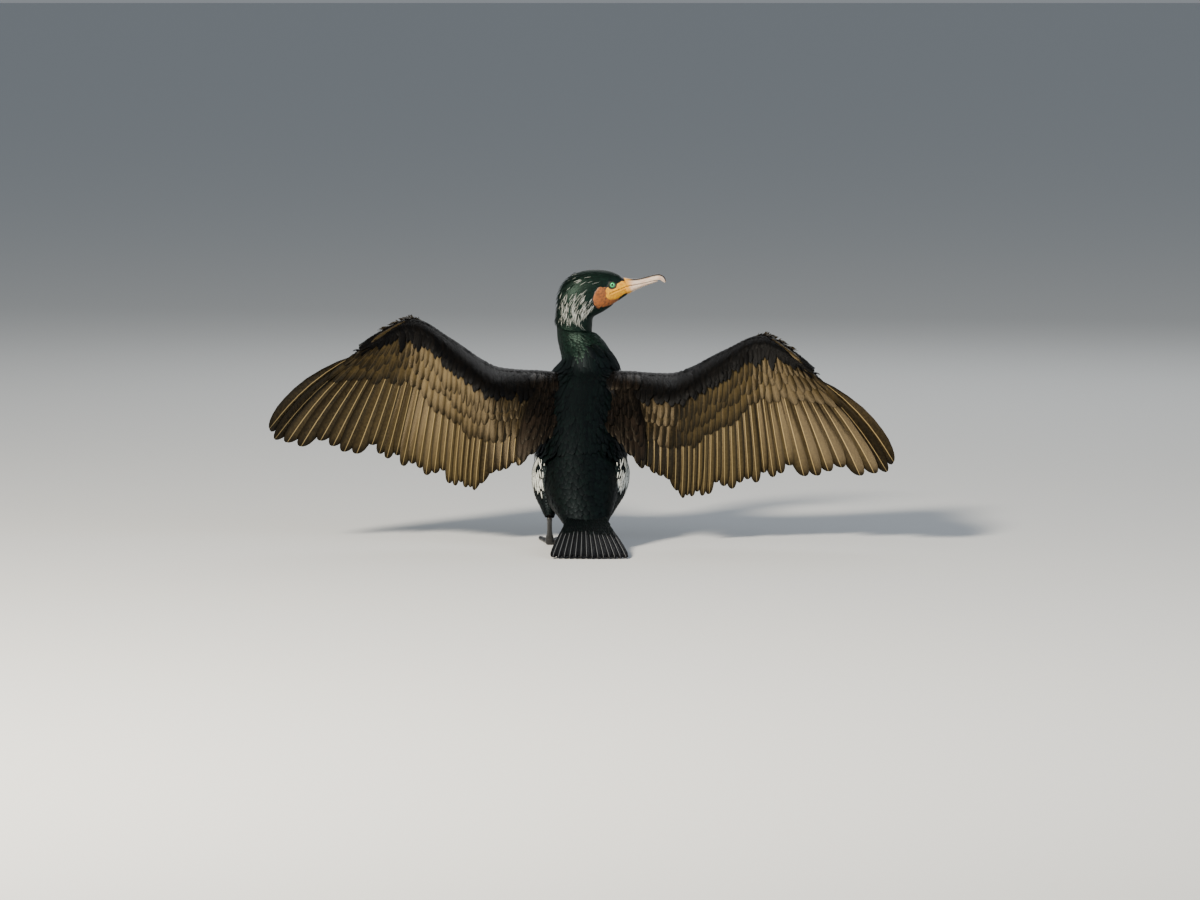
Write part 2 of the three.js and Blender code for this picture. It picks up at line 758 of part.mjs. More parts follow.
// Tail: a short root of flesh, the long feathers and the coverts at their base
/** A point over one half of the tail's fan. Places count outwards from its middle. */
function onTail(side, n, share, height) {
  const across = n / (RECTRICES / 2);
  const root = v3(TAIL.middle + side * across * TAIL.rootHalf, TAIL.rootY, TAIL.rootZ);
  const tip = v3(TAIL.tipX + side * across * TAIL.tipHalf, TAIL.tipY + 7 * across ** 2, TAIL.tipZ);
  const point = root.lerp(tip, share).add(v3(0, -0.35 * height, 0.93 * height + 8 * share * (1 - share)));
  return point.setZ(Math.max(point.z, 0));
}
const RECTRIX = {
  ...FLIGHT,
  inner: 0.85,
  widest: 19,
  slope: 1.6,
  ridge: 0.6,
  outline: [
    [0, 0.4],
    [0.3, 0.85],
    [0.7, 1],
    [0.95, 0.8],
    [1, 0.3],
  ],
};
const TAIL_COVERT = {
  ...COVERTS,
  inner: 1.2,
  outer: 1.05,
  lift: [
    [0, 6],
    [0.15, 6.5],
    [0.4, 5.6],
  ],
  outline: [
    [-0.02, 0.5],
    [0.25, 1],
    [0.37, 0.8],
  ],
};
// Rings of the tail's flesh: centre Y, Z, half width, half depth
const TAIL_ROOT = [
  [-95, 46, 27, 11],
  [-113, 41, 34, 9],
  [-126, 36, 36, 5.5],
  [-134, 33, 34, 2.5],
];
const tailRing = (y, z, width, depth) =>
  Array.from({ length: 14 }, (_, k) => {
    const angle = (2 * Math.PI * k) / 14;
    const rise = Math.sin(angle) * depth;
    return v3(TAIL.middle + Math.cos(angle) * width, y + 0.4 * rise, z + rise);
  });
const tailPieces = [loft(TAIL_ROOT.map((ring) => tailRing(...ring)))];
for (const side of [-1, 1]) {
  const half = (n, share, height) => onTail(side, n, share, height);
  const over = side < 0 ? 2.4 : 0; // the left half lies over the right one
  const lift = (knots) => knots.map(([share, height]) => [share, height + over]);
  const long = { ...RECTRIX, lift: lift(RECTRIX.lift) };
  for (let n = 0.5; n < RECTRICES / 2; n++) tailPieces.push(shingle(half, n, long));
  for (let n = 0.9; n < 6; n += 1.8) {
    const outline = [...TAIL_COVERT.outline, [0.42 - 0.01 * n, 0.3]];
    const inner = n < 1 ? 0.86 : TAIL_COVERT.inner; // the first starts at the middle
    tailPieces.push(shingle(half, n, { ...TAIL_COVERT, outline, inner, lift: lift(TAIL_COVERT.lift) }));
  }
}
add("tail", fused(tailPieces, [grownTrunk]), FINISH.black);

/** A length of a leg, with rings square to the line through their centres. */
function legLoft(rings, side, points, grow = 0) {
  const stance = STANCE[side > 0 ? "right" : "left"];
  const last = rings.length - 1;
  return loft(
    rings.map(([share, y, z, width, depth], i) => {
      const [before, after] = [rings[Math.max(0, i - 1)], rings[Math.min(last, i + 1)]];
      const down = v3(0, after[1] - before[1], after[2] - before[2]).normalize();
      const forward = v3(1, 0, 0).cross(down);
      const past = grow * ((i === last) - (i === 0));
      return Array.from({ length: points }, (_, k) => {
        const angle = (2 * Math.PI * k) / points;
        return v3(side * mix(stance, share) + Math.cos(angle) * (width + grow), y, z)
          .addScaledVector(down, past)
          .addScaledVector(forward, Math.sin(angle) * (depth + grow));
      });
    }),
  );
}

/** The middle of a foot, on the floor. */
const footAt = (side) => v3(side * STANCE[side > 0 ? "right" : "left"][1], 0, 0);

/** The flat-soled heel that the toes grow from. */
function heel(side) {
  return loft(
    HEEL.map(([y, z, width, depth]) =>
      Array.from({ length: 12 }, (_, k) => {
        const angle = (Math.PI * k) / 6;
        return footAt(side).add(v3(Math.cos(angle) * width, y + Math.sin(angle) * depth, z));
      }),
    ),
  );
}

/** Where a toe points, for the right foot turned to its side. */
function toeDirection(turn, side) {
  const angle = THREE.MathUtils.degToRad(turn);
  return v3(side * Math.sin(angle), Math.cos(angle), 0);
}

/** A toe with a flat sole, thicker at its joints. */
function toe([turn, length, rootRadius, tipRadius], side) {
  const ahead = toeDirection(turn, side);
  const across = v3(ahead.y, -ahead.x, 0);
  const start = footAt(side);
  return loft(
    [0, 0.3, 0.45, 0.7, 0.85, 1].map((along, i) => {
      const radius = mix([rootRadius, tipRadius], along) * (i % 2 ? 0.9 : 1.05);
      return [
        [-0.7, 0],
        [-1, 0.8],
        [-0.5, 1.75],
        [0.5, 1.75],
        [1, 0.8],
        [0.7, 0],
      ].map(([sideways, up]) =>
        start
          .clone()
          .addScaledVector(ahead, along * length)
          .addScaledVector(across, sideways * radius)
          .add(v3(0, 0, up * radius)),
      );
    }),
  );
}

/** The web between the toes, with hollow edges from tip to tip. */
function web(side) {
  const spots = Object.values(TOES).map(([turn, length]) => toeDirection(turn, side).multiplyScalar(length - 3));
  const shape = new THREE.Shape().moveTo(0, -2);
  spots.forEach((spot, i) => {
    if (i === 0) return void shape.lineTo(spot.x, spot.y);
    const hollow = spots[i - 1].clone().add(spot).multiplyScalar(0.41);
    shape.quadraticCurveTo(hollow.x, hollow.y, spot.x, spot.y);
  });
  shape.closePath();
  const sheet = new THREE.ExtrudeGeometry(shape, { depth: 1.6, bevelEnabled: false, curveSegments: 4 });
  return sheet.translate(...footAt(side).setZ(0.9));
}

/** A claw that starts just past a toe's end and curves down to the floor. */
function claw([turn, length, , tipRadius], side) {
  const ahead = toeDirection(turn, side);
  const across = v3(ahead.y, -ahead.x, 0);
  const start = footAt(side).addScaledVector(ahead, length + GAP);
  const base = tipRadius * 0.95;
  return loft(
    [0, 0.4, 0.75, 1].map((along) => {
      const radius = CLAW.radius * (1 - 0.9 * along);
      const height = Math.max(base + 1.2 * along - 3.6 * along ** 2, radius + 0.25);
      return Array.from({ length: 7 }, (_, k) => {
        const angle = (2 * Math.PI * k) / 7;
        return start
          .clone()
          .addScaledVector(ahead, along * CLAW.length)
          .addScaledVector(across, Math.cos(angle) * radius * 0.8)
          .add(v3(0, 0, height + Math.sin(angle) * radius));
      });
    }),
  );
}

for (const [name, side] of [
  ["right", 1],
  ["left", -1],
]) {
  const tarsus = legLoft(TARSUS, side, 10);
  const grownTarsus = legLoft(TARSUS, side, 10, GAP);
  const toes = Object.values(TOES).map((size) => toe(size, side));
  add(`thigh_${name}`, fused([legLoft(THIGH, side, 16)], [grownTrunk, grownTarsus]), FINISH.black);
  add(`tarsus_${name}`, tarsus, FINISH.foot);
  add(`foot_${name}`, fused([heel(side), web(side), ...toes], [grownTarsus]), FINISH.foot);
  for (const [toeName, size] of Object.entries(TOES)) add(`claw_${name}_${toeName}`, claw(size, side), FINISH.claw);
}

// The origin is under the middle of the bird's outer box
const box = new THREE.Box3().setFromObject(bird);
bird.position.set(-(box.min.x + box.max.x) / 2, -(box.min.y + box.max.y) / 2, -box.min.z);

export default bird;
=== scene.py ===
"""A great cormorant, life size, standing with its wings held half open to dry.

The bird's line from rump to bill, its wings, tail and legs are surfaces worked out from named sizes. A skin
follows each of them, and feathers lie over the skin as thin closed vanes. Lengths are in mm before the shift
into the shared frame, and angles in radians, where no name or comment says otherwise.
"""

import logging
import math
from dataclasses import dataclass, field
from enum import Enum
from typing import Callable

import bpy
import numpy as np
from bpy.types import Material, Mesh, Node, NodeSocket, NodeTree, Object
from mathutils import Matrix, Vector


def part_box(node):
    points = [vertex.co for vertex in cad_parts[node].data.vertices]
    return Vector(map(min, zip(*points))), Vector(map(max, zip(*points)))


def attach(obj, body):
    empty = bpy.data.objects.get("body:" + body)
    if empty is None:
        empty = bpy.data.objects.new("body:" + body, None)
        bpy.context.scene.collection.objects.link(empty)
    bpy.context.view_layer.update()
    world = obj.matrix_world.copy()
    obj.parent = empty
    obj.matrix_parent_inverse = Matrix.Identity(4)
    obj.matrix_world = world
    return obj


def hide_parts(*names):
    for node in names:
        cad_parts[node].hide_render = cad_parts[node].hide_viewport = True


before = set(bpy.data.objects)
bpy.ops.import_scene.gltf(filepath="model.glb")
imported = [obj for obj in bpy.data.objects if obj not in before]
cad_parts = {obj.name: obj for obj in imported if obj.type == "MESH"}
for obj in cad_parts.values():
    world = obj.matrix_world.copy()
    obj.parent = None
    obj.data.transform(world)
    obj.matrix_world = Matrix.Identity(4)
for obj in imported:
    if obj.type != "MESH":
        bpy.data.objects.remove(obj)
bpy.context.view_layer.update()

MM = 0.001  # metres
SEED = 7
FLOOR_CLEARANCE = 0.4  # under the lowest feathers and skin
LEAST_STRETCH = 2.0  # for each unit of a sheet, so that steps stay short where its rings close up
Array = np.ndarray
Knots = tuple[tuple[float, ...], ...]
Shape = Callable[[Array, Array], Array]
log = logging.getLogger("cormorant")


def linear(colour: str) -> tuple[float, float, float, float]:
    """Turn an sRGB hex colour to linear.

    Args:
        colour: the colour as #rrggbb.

    Returns:
        Red, green, blue and alpha in linear light.
    """
    parts = [int(colour[i : i + 2], 16) / 255 for i in (1, 3, 5)]
    red, green, blue = (c / 12.92 if c <= 0.04045 else ((c + 0.055) / 1.055) ** 2.4 for c in parts)
    return red, green, blue, 1.0


def unit(vectors: Array) -> Array:
    """Scale vectors to length 1."""
    return vectors / np.maximum(np.linalg.norm(vectors, axis=-1, keepdims=True), 1e-9)


def through(knots: Knots, place: Array | float) -> Array:
    """Read a smooth line through knots, which runs on straight past its ends.

    Args:
        knots: rows of a place and the numbers there.
        place: where to read, of any shape.

    Returns:
        The numbers at each place, along a new last axis.
    """
    table = np.asarray(knots, float)
    at, values = table[:, 0], table[:, 1:]
    place = np.asarray(place, float)
    inside = np.clip(place, at[0], at[-1])
    a = np.clip(np.searchsorted(at, inside, side="left") - 1, 0, len(at) - 2)
    b, before, after = a + 1, np.maximum(a - 1, 0), np.minimum(a + 2, len(at) - 1)
    t = ((inside - at[a]) / (at[b] - at[a]))[..., None]
    leave = (values[b] - values[before]) / (at[b] - at[before])[..., None]
    arrive = (values[after] - values[a]) / (at[after] - at[a])[..., None]
    slopes = (leave * t * (1 - t) ** 2 + arrive * t * t * (t - 1)) * (at[b] - at[a])[..., None]
    value = values[a] * (1 + 2 * t) * (1 - t) ** 2 + values[b] * t * t * (3 - 2 * t) + slopes
    past = (place - inside)[..., None]
    return value + past * np.where(past < 0, leave, arrive)


def smooth(value: Array, low: float, high: float) -> Array:
    """Rise from 0 to 1 between low and high, as a smooth step."""
    t = np.clip((value - low) / (high - low), 0, 1)
    return t * t * (3 - 2 * t)


class Region(Enum):
    """The record's material slots."""

    BODY = "body_plumage"
    WING = "wing_plumage"
    TAIL = "tail_plumage"
    BILL = "bill_horn"
    EYE = "eye"
    FOOT = "foot_skin"
    CLAW = "claw_horn"


class Side(Enum):
    """The bird's sides, as the sign of X."""

    RIGHT = 1
    LEFT = -1

    @property
    def word(self) -> str:
        """The side's name in small letters."""
        return self.name.lower()


@dataclass(frozen=True)
class EyeSize:
    """Place and size of the eyes and of the beaded ring of bare skin round each."""

    x: float = 41.0
    middle: float = 110.0  # Y halfway between them
    z: float = 384.5
    out: float = 11.2  # from the middle to each centre
    radius: float = 6.0
    pupil: float = 1.8
    iris: float = 4.2
    lid: float = 0.79  # the ring's radius, as a share of the eye's
    lid_thick: float = 0.95
    lid_at: tuple[float, float, float] = (0.4, 4.1, 0.1)  # from the eye's centre, the second number outwards
    lid_turn: float = 0.12
    beads: int = 24


EYE = EyeSize()


def frame_shift() -> Array:
    """Work out, from the eyes in the frame, how far the frame lies from the sizes below.

    Returns:
        The shift in mm.
    """
    corners = [corner for name in ("eye_right", "eye_left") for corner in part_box(name)]
    middle = np.mean([list(corner) for corner in corners], axis=0) / MM
    return middle - np.array([EYE.x, EYE.middle, EYE.z])


SHIFT = frame_shift()


class Sheet:
    """A surface over two numbers, held as a fine grid of points and read between them."""

    def __init__(self, shape: Shape, u: tuple[float, float], v: tuple[float, float],
                 counts: tuple[int, int], facing: Array | None = None) -> None:
        """Sample a surface.

        Args:
            shape: gives points in mm for arrays of the two numbers.
            u: first and last value of the first number.
            v: first and last value of the second.
            counts: how many samples each number has.
            facing: a direction that the surface's outer side faces, or None for a closed one.
        """
        self.u, self.v, self.counts = u, v, counts
        us, vs = np.linspace(*u, counts[0]), np.linspace(*v, counts[1])
        self.points = shape(*np.meshgrid(us, vs, indexing="ij"))
        self.du = np.gradient(self.points, us, axis=0)
        self.dv = np.gradient(self.points, vs, axis=1)
        self.normals = unit(np.cross(self.du, self.dv))
        outward = self.points - self.points.mean(axis=1, keepdims=True) if facing is None else facing
        if (self.normals * outward).sum() < 0:
            self.normals = -self.normals

    def read(self, grid: Array, u: Array, v: Array) -> Array:
        """Read one of the grids between its samples, held at the edges.

        Args:
            grid: one of the sheet's own.
            u: the first number.
            v: the second.

        Returns:
            What the grid holds there.
        """
        spots = []
        for value, (low, high), count in zip((u, v), (self.u, self.v), self.counts):
            place = np.clip((value - low) / (high - low) * (count - 1), 0, count - 1.001)
            spots.append((place.astype(int), (place % 1)[..., None]))
        (i, s), (j, t) = spots
        return ((grid[i, j] * (1 - t) + grid[i, j + 1] * t) * (1 - s)
                + (grid[i + 1, j] * (1 - t) + grid[i + 1, j + 1] * t) * s)

    def at(self, u: Array, v: Array, height: Array | float) -> Array:
        """Points at a height over the surface, which runs on straight past its edges.

        Args:
            u: the first number.
            v: the second.
            height: in mm, along the outward direction.

        Returns:
            Points in mm.
        """
        past_u = (u - np.clip(u, *self.u))[..., None]
        past_v = (v - np.clip(v, *self.v))[..., None]
        height = np.broadcast_to(np.asarray(height, float), np.shape(u))[..., None]
        flat = self.read(self.points, u, v)
        flat = flat + self.read(self.du, u, v) * past_u + self.read(self.dv, u, v) * past_v
        return flat + unit(self.read(self.normals, u, v)) * height

    def stretch(self, u: Array, v: Array) -> tuple[Array, Array]:
        """How many mm the surface covers for each unit of its two numbers.

        Args:
            u: the first number of each spot.
            v: the second.

        Returns:
            The lengths along the first number and along the second.
        """
        along = np.linalg.norm(self.read(self.du, u, v), axis=-1)
        across = np.linalg.norm(self.read(self.dv, u, v), axis=-1)
        return np.maximum(along, LEAST_STRETCH), np.maximum(across, LEAST_STRETCH)


@dataclass(frozen=True)
class Form:
    """The form of one kind of feather.

    outline holds shares of the length with shares of the half width, and columns the stations across.
    thick is the vane's thickness at its root, crown the rise of its middle over its edges, and shaft that of
    the rib. ragged is how far the rim falls short of the outline, as a share of the half width.
    """

    outline: Knots
    columns: tuple[float, ...] = (-1, 0, 1)
    thick: float = 0.5
    crown: float = 0.6
    shaft: float = 0.0
    ragged: float = 0.045


ROUND_TIP = Form(
    ((0, 0.4), (0.3, 0.85), (0.62, 1), (0.88, 0.78), (1, 0.22)), thick=0.4, crown=1.1, ragged=0.105)
LANCE = Form(((0, 0.5), (0.35, 1), (0.7, 0.8), (1, 0.12)), thick=0.35, crown=0.45)
HAIR = Form(((0, 0.6), (0.4, 1), (0.75, 0.8), (1, 0.2)), thick=0.3, crown=0.15, ragged=0)
COVERT = Form(
    ((0, 0.35), (0.15, 0.7), (0.35, 0.92), (0.6, 1), (0.78, 0.95), (0.9, 0.75), (0.97, 0.48), (1, 0.2)),
    columns=(-1, -0.5, 0, 0.5, 1), thick=0.45, crown=1.7, shaft=0.25)
QUILL = Form(
    ((0, 0.16), (0.06, 0.45), (0.14, 0.68), (0.25, 0.82), (0.4, 0.92), (0.55, 0.98), (0.68, 1), (0.79, 0.98),
     (0.87, 0.92), (0.93, 0.8), (0.97, 0.6), (0.99, 0.4), (1, 0.16)),
    columns=(-1, -0.72, -0.4, -0.09, 0, 0.09, 0.4, 0.72, 1), thick=0.6, crown=2.2, shaft=0.7, ragged=0.03)


@dataclass
class Bunch:
    """Where the feathers of one bunch grow: arrays with one entry for each feather.

    along and across are steps over the sheet for the whole length and for one half width. lift holds the
    heights of root and tip, inner how wide the side of minus columns is, and slope how far a vane rises over
    one half width. shade runs from the finish's first colour at 0 to its second at about 1, or is None for
    shades at random.
    """

    u: Array
    v: Array
    along: tuple[Array, Array]
    across: tuple[Array, Array]
    lift: tuple[Array | float, Array | float]
    inner: float = 1.0
    slope: float = 0.0
    shade: Array | None = None


@dataclass
class Coat:
    """Many feathers joined in one mesh, with small differences between them that the seed gives."""

    name: str
    seed: int = SEED
    slope_spread: float = 0.35
    thinning: float = 0.5  # share of its thickness that a vane loses from root to tip
    patch: float = 0.0015  # half width of a feather's place in the bake map
    margin: float = 0.004
    points: list[Array] = field(default_factory=list)
    quads: list[Array] = field(default_factory=list)
    vanes: list[Array] = field(default_factory=list)
    maps: list[Array] = field(default_factory=list)
    rims: list[Array] = field(default_factory=list)
    count: int = 0

    def __post_init__(self) -> None:
        """Start the random draws."""
        self.random = np.random.default_rng(self.seed)

    @staticmethod
    def faces(rows: int, columns: int) -> Array:
        """The faces of one feather, whose upper and lower sides share the points of its rim.

        Args:
            rows: stations along it.
            columns: stations across it.

        Returns:
            Faces of four corners.
        """
        upper = np.arange(rows * columns).reshape(rows, columns)
        lower = upper.copy()
        inner = np.arange((rows - 2) * (columns - 2)).reshape(rows - 2, columns - 2)
        lower[1:-1, 1:-1] = rows * columns + inner
        sides = []
        for grid, turn in ((upper, 1), (lower, -1)):
            corners = [grid[:-1, :-1], grid[1:, :-1], grid[1:, 1:], grid[:-1, 1:]][::turn]
            sides.append(np.stack(corners, -1).reshape(-1, 4))
        return np.concatenate(sides)

    @staticmethod
    def sides(upper: Array, lower: Array) -> Array:
        """Bring the values of each feather's upper and lower side in the order of its points.

        Args:
            upper: values on the upper side, by feather, station along and station across.
            lower: the same on the lower side, whose rim is left out.

        Returns:
            The values by feather and point.
        """
        kept, width = len(upper), upper.shape[-1]
        inner = lower[:, 1:-1, 1:-1]
        return np.concatenate([upper.reshape(kept, -1, width), inner.reshape(kept, -1, width)], axis=1)

    def lay(self, sheet: Sheet, bunch: Bunch, form: Form, height: Shape | None = None,
            place: Callable[[Array], Array] | None = None) -> None:
        """Lay a bunch of feathers on a sheet.

        Args:
            sheet: what they lie on.
            bunch: where they grow and how large each is.
            form: their form.
            height: how high the flesh stands over the sheet, for arrays of its two numbers.
            place: moves the finished points, such as to the other side.
        """
        t, w = np.asarray(form.outline, float).T
        x = np.asarray(form.columns, float)
        kept, rows, columns = len(bunch.u), len(t), len(x)
        reach = np.where(x < 0, x * bunch.inner, x)
        jag = 1 - form.ragged * np.abs(self.random.normal(size=(kept, rows, 2)))
        edge = np.where(x < 0, jag[..., :1], jag[..., 1:])
        side = w[None, :, None] * reach * np.where(np.abs(x) < 1, 1, edge)
        t3 = t[None, :, None]
        u, v = (root[:, None, None] + a[:, None, None] * t3 + c[:, None, None] * side
                for root, a, c in zip((bunch.u, bunch.v), bunch.along, bunch.across))
        low, high = (np.broadcast_to(np.asarray(h, float), (kept,))[:, None, None] for h in bunch.lift)
        slope = bunch.slope * (1 + self.slope_spread * self.random.normal(size=(kept, 1, 1)))
        rise = low + (high - low) * t3 + slope * side
        if height is not None:
            rise = rise + height(u, v)
        rise = rise + form.crown * (1 - x**2) * w[None, :, None]
        rise = rise + form.shaft * (x == 0) * (1 - t3)
        lower = sheet.at(u, v, rise - form.thick * (1 - self.thinning * t3))
        points = self.sides(sheet.at(u, v, rise), lower)
        share = np.broadcast_to(t3, u.shape)
        across = np.broadcast_to(x, u.shape)
        tones = self.random.random(kept) if bunch.shade is None else np.broadcast_to(bunch.shade, (kept,))
        vane = np.stack([share, across, np.broadcast_to(tones[:, None, None], u.shape)], -1)
        root = np.stack([(at - low) / (high - low)
                         for at, (low, high) in ((bunch.u, sheet.u), (bunch.v, sheet.v))], -1)
        patch = self.patch * np.stack([across, 2 * share - 1], -1)
        mapped = np.clip(root, self.margin, 1 - self.margin)[:, None, None, :] + patch
        rim = np.ones((rows, columns), bool)
        rim[1:-1, 1:-1] = False
        inner = np.zeros((rows - 2) * (columns - 2), bool)
        per = points.shape[1]
        flat = points.reshape(-1, 3)
        self.points.append(place(flat) if place else flat)
        self.vanes.append(self.sides(vane, vane).reshape(-1, 3))
        self.maps.append(self.sides(mapped, mapped).reshape(-1, 2))
        self.rims.append(np.tile(np.concatenate([rim.ravel(), inner]), kept))
        quads = (self.faces(rows, columns)[None] + (np.arange(kept) * per)[:, None, None]).reshape(-1, 4)
        if signed_volume(self.points[-1], quads) < 0:
            quads = quads[:, ::-1]
        self.quads.append(quads + self.count)
        self.count += kept * per

    def map_in_strips(self) -> None:
        """Give each bunch of one feather a strip of the bake map of its own."""
        for k, vane in enumerate(self.vanes):
            across = (k + 0.5 + 0.42 * vane[:, 1]) / len(self.vanes)
            self.maps[k] = np.stack([across, 0.05 + 0.9 * vane[:, 0]], -1)

    def piece(self, material: Material, region: Region,
              replaces: tuple[str, ...] = ()) -> Object:
        """Make the coat's mesh.

        Args:
            material: its finish.
            region: the record's slot.
            replaces: the nodes that it stands for.

        Returns:
            The finished piece.
        """
        points = np.concatenate(self.points)
        points[:, 2] = np.maximum(points[:, 2], FLOOR_CLEARANCE)
        return make_piece(self.name, points, np.concatenate(self.quads), material, region, replaces,
                          vectors={"vane": np.concatenate(self.vanes)}, bake=np.concatenate(self.maps),
                          rim=np.concatenate(self.rims))


def signed_volume(points: Array, quads: Array) -> float:
    """The volume inside closed quads, below zero where they are inside out."""
    a, b, c, d = (points[quads[:, k]] for k in range(4))
    return float((a * np.cross(b, c) + a * np.cross(c, d)).sum()) / 6


def keep_vectors(mesh: Mesh, name: str, values: Array) -> None:
    """Store a vector for each point of a mesh, under a name that a material reads."""
    layer = mesh.attributes.new(name, "FLOAT_VECTOR", "POINT")
    layer.data.foreach_set("vector", np.asarray(values, np.float32).ravel())


def make_piece(name: str, points: Array, quads: Array, material: Material, region: Region,
               replaces: tuple[str, ...] = (), vectors: dict[str, Array] | None = None,
               bake: Array | None = None, rim: Array | None = None) -> Object:
    """Make one piece of the model from points and faces of four corners.

    Args:
        name: the piece's name.
        points: in mm, before the shift into the shared frame.
        quads: corner numbers, three of them different at least.
        material: its finish.
        region: the record's slot.
        replaces: nodes of the frame that it stands for.
        vectors: named vector attributes, one entry a point.
        bake: the OFBake map, one entry a point.
        rim: which points lie on a vane's rim, whose edges are shaded as creases.

    Returns:
        The finished piece, which rides on the root body.
    """
    mesh = bpy.data.meshes.new(name)
    mesh.vertices.add(len(points))
    mesh.vertices.foreach_set("co", ((points + SHIFT) * MM).astype(np.float32).ravel())
    mesh.loops.add(quads.size)
    mesh.loops.foreach_set("vertex_index", quads.astype(np.int32).ravel())
    mesh.polygons.add(len(quads))
    mesh.polygons.foreach_set("loop_start", np.arange(0, quads.size, 4, dtype=np.int32))
    mesh.polygons.foreach_set("use_smooth", np.ones(len(quads), bool))
    mesh.update(calc_edges=True)
    if rim is not None:
        ends = np.empty(len(mesh.edges) * 2, np.int32)
        mesh.edges.foreach_get("vertices", ends)
        crease = rim[ends.reshape(-1, 2)].all(axis=1)
        mesh.attributes.new("sharp_edge", "BOOLEAN", "EDGE").data.foreach_set("value", crease)
    for key, values in (vectors or {}).items():
        keep_vectors(mesh, key, values)
    if bake is not None:
        layer = mesh.uv_layers.new(name="OFBake")
        layer.data.foreach_set("uv", bake[quads.ravel()].astype(np.float32).ravel())
    mesh.validate()
    piece = bpy.data.objects.new(name, mesh)
    bpy.context.scene.collection.objects.link(piece)
    return dress(piece, material, region, replaces)


def dress(piece: Object, material: Material, region: Region,
          replaces: tuple[str, ...] = ()) -> Object:
    """Give a piece its material and body, and hide the nodes that it stands for.

    Args:
        piece: the piece.
        material: its finish.
        region: the record's slot; not used.
        replaces: the nodes.

    Returns:
        The piece.
    """
    piece.data.materials.clear()
    piece.data.materials.append(material)
    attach(piece, "root")
    if replaces:
        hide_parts(*replaces)
    log.info("%s: %d faces", piece.name, len(piece.data.polygons))
    return piece


def grid_quads(rows: int, columns: int) -> Array:
    """The faces of a tube of rings.

    Args:
        rows: how many rings there are.
        columns: how many points each has.

    Returns:
        Faces of four corners.
    """
    ring = np.arange(columns)
    after = (ring + 1) % columns
    base = (np.arange(rows - 1) * columns)[:, None]
    corners = [base + ring, base + after, base + columns + after, base + columns + ring]
    return np.stack(corners, -1).reshape(-1, 4)


def tube(points: Array) -> tuple[Array, Array]:
    """Close a grid of rings at both ends, with rings that shrink to the middle of each end.

    Args:
        points: rings of equal count, as rows by points by 3.

    Returns:
        The points and the faces, turned so that they face out.
    """
    caps = []
    for ring in (points[0], points[-1]):
        middle = ring.mean(axis=0)
        caps.append([middle + (ring - middle) * share for share in (0.6, 0.02)])
    rings = np.stack([caps[0][1], caps[0][0], *points, caps[1][0], caps[1][1]])
    rows, columns = rings.shape[:2]
    quads = grid_quads(rows, columns)
    ends = []
    for first, turn in ((0, -1), ((rows - 1) * columns, 1)):
        k = np.arange(1, columns // 2)
        corners = [first + k - 1, first + k, first + columns - 1 - k, first + (columns - k) % columns]
        ends.append(np.stack(corners, -1)[:, ::turn])
    quads = np.concatenate([quads, *ends])
    flat = rings.reshape(-1, 3)
    return flat, quads if signed_volume(flat, quads) > 0 else quads[:, ::-1]


ALWAYS: dict[str, dict[str, str]] = {  # settings that these nodes have wherever they stand
    "Mix": {"data_type": "RGBA"},
    "MapRange": {"interpolation_type": "SMOOTHSTEP"},
}


def fill(node: Node, inputs: dict[int | str, object]) -> None:
    """Give a node's input sockets numbers, hex colours or links.

    Args:
        node: the node.
        inputs: what goes into each socket, by its number or name.
    """
    for socket, value in inputs.items():
        if isinstance(value, NodeSocket):
            node.id_data.links.new(value, node.inputs[socket])
        else:
            node.inputs[socket].default_value = linear(value) if isinstance(value, str) else value


def add(tree: NodeTree, kind: str, inputs: dict[int | str, object] | None = None, out: str | None = None,
        **settings: object) -> NodeSocket:
    """Add a node with its settings and links.

    A Mix node's colours are its sockets 6 and 7, and a Map Range's two ends 1 and 2. The second end may be
    the lower one.

    Args:
        tree: the material's tree.
        kind: the node's type, as in Mix.
        inputs: what goes into its input sockets.
        out: the output to hand back, or None for the first one in use.
        **settings: its own properties.

    Returns:
        The output.
    """
    node = tree.nodes.new(f"ShaderNode{kind}")
    for key, value in {**ALWAYS.get(kind, {}), **settings}.items():
        setattr(node, key, value)
    fill(node, inputs or {})
    return node.outputs[out] if out else next(socket for socket in node.outputs if socket.enabled)


def blank(name: str, **values: object) -> tuple[Material, NodeTree, Node]:
    """A material with a bare surface shader.

    Args:
        name: the material's name.
        **values: what goes into the shader's sockets, with _ for each blank in a socket's name.

    Returns:
        The material, its tree and the shader.
    """
    material = bpy.data.materials.new(name)
    material.use_nodes = True
    shader = material.node_tree.nodes["Principled BSDF"]
    fill(shader, {key.replace("_", " "): value for key, value in values.items()})
    return material, material.node_tree, shader


